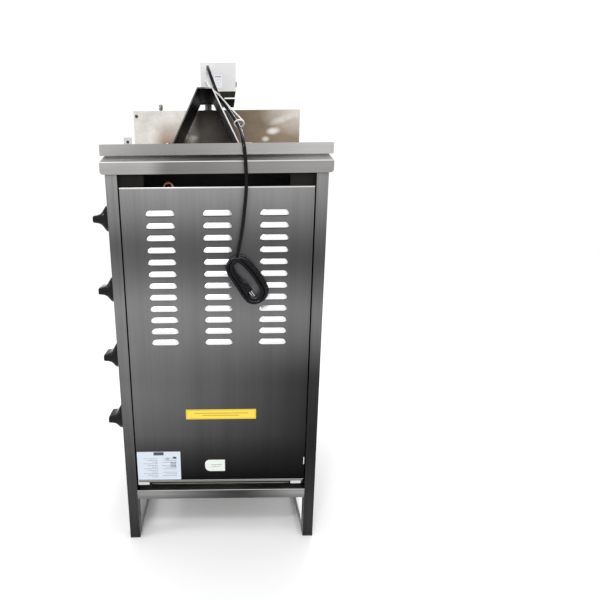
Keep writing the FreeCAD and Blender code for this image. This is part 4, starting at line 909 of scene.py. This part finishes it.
def make_shield_bolt():
    """A hexagon bolt head on the rear of the heat shield."""
    x, z, face, wide = 0.2332, 1.2576, 0.0625, 0.0048
    hexagon = superellipse(wide, wide, 2, 6)
    stations = [(face - 0.0005, 1.0), (face + 0.003, 1.0), (face + 0.0036, 0.8)]
    shape = Shape()
    shape.loft([[(x + u * grow, y, z + v * grow) for u, v in hexagon] for y, grow in stations])
    new_piece("shield_bolt", shape.mesh("shield_bolt"), ["motor_paint"])


def make_shield_post(table):
    """A collared post that stands on the table top behind the heat shield."""
    x, y, top, squash = 0.1625, 0.0535, 1.2905, 0.85
    foot, shank, collar = 0.0060, 0.0045, 0.0057
    stations = [(table, foot), (table + 0.003, foot), (table + 0.0032, shank), (top - 0.014, shank),
                (top - 0.0135, collar), (top - 0.003, collar), (top - 0.0008, 0.0046), (top, 0.0025)]
    shape = Shape()
    shape.loft([[(x + u, y + v, z) for u, v in superellipse(round_, round_ * squash, 2, 24)]
                for z, round_ in stations])
    new_piece("shield_post", shape.mesh("shield_post"), ["hem_steel"], smooth=40)


def make_table_bracket(table):
    """A small bent bracket with a bolt, on the left of the table top."""
    left, right, front, bend, rear = 0.2244, 0.2459, 0.1750, 0.1990, 0.2005
    shape = Shape()
    shape.box((left, bend, table), (right, rear, 1.1838))
    shape.box((left, front, table), (right, bend, table + 0.0015))
    shape.box((0.2320, rear, 1.1690), (0.2385, rear + 0.0020, 1.1755), 1)
    new_piece("table_bracket", shape.mesh("table_bracket"), ["edge_steel", "motor_paint"])


def make_plate(name, low, high, slot):
    """One flat rectangular plate between two corners."""
    shape = Shape()
    shape.box(low, high)
    new_piece(name, shape.mesh(name), [slot])


def make_fittings():
    """Small parts on the table top, the heat shield and the cover that carry no load."""
    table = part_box("table_top")[1].z
    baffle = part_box("heat_baffle")[1].z
    make_shield_bolt()
    make_shield_post(table)
    make_table_bracket(table)
    make_plate("cover_clip", (-0.2480, FACE, 0.2540), (-0.2455, FACE + 0.0012, 0.2780),
               "edge_steel")
    make_plate("rim_tab", (-0.0878, 0.2790, table), (-0.0655, 0.2880, table + 0.0016),
               "edge_steel")
    # painted shade: a near-black sheet across the inside of the body, below the table
    make_plate("throat_plate", (-0.2500, 0.1225, baffle - 0.03), (0.2500, 0.1235, 1.1300),
               "dark_inside")


def make_table_corners():
    """Rounded sheet corners that close the rim of the table top between its two broad faces."""
    low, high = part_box("table_top")
    centre_in, outer, sheet, fold = 0.013, 0.0129, 0.0012, 0.0018
    shape = Shape()
    for quarter, (side, end) in enumerate(((1, 1), (-1, 1), (-1, -1), (1, -1))):
        x = side * (high.x - centre_in)
        y = (high.y - centre_in) if end > 0 else (low.y + centre_in)
        turns = [math.radians(90 * quarter + 9 * step) for step in range(11)]
        outline = [(x + outer * math.cos(turn), y + outer * math.sin(turn)) for turn in turns]
        inner = outer - sheet
        outline += [(x + inner * math.cos(turn), y + inner * math.sin(turn)) for turn in reversed(turns)]
        shape.loft([[(a, b, z) for a, b in outline] for z in (low.z + fold, high.z - fold)])
    new_piece("table_corners", shape.mesh("table_corners"), ["crown_steel"],
              smooth=40)


LOOKS = make_looks()
make_camera()
make_room()
dress_nodes()
make_cords()
make_cover()
for knob_number in range(1, 5):
    make_knob(knob_number)
make_labels()
make_fittings()
make_table_corners()
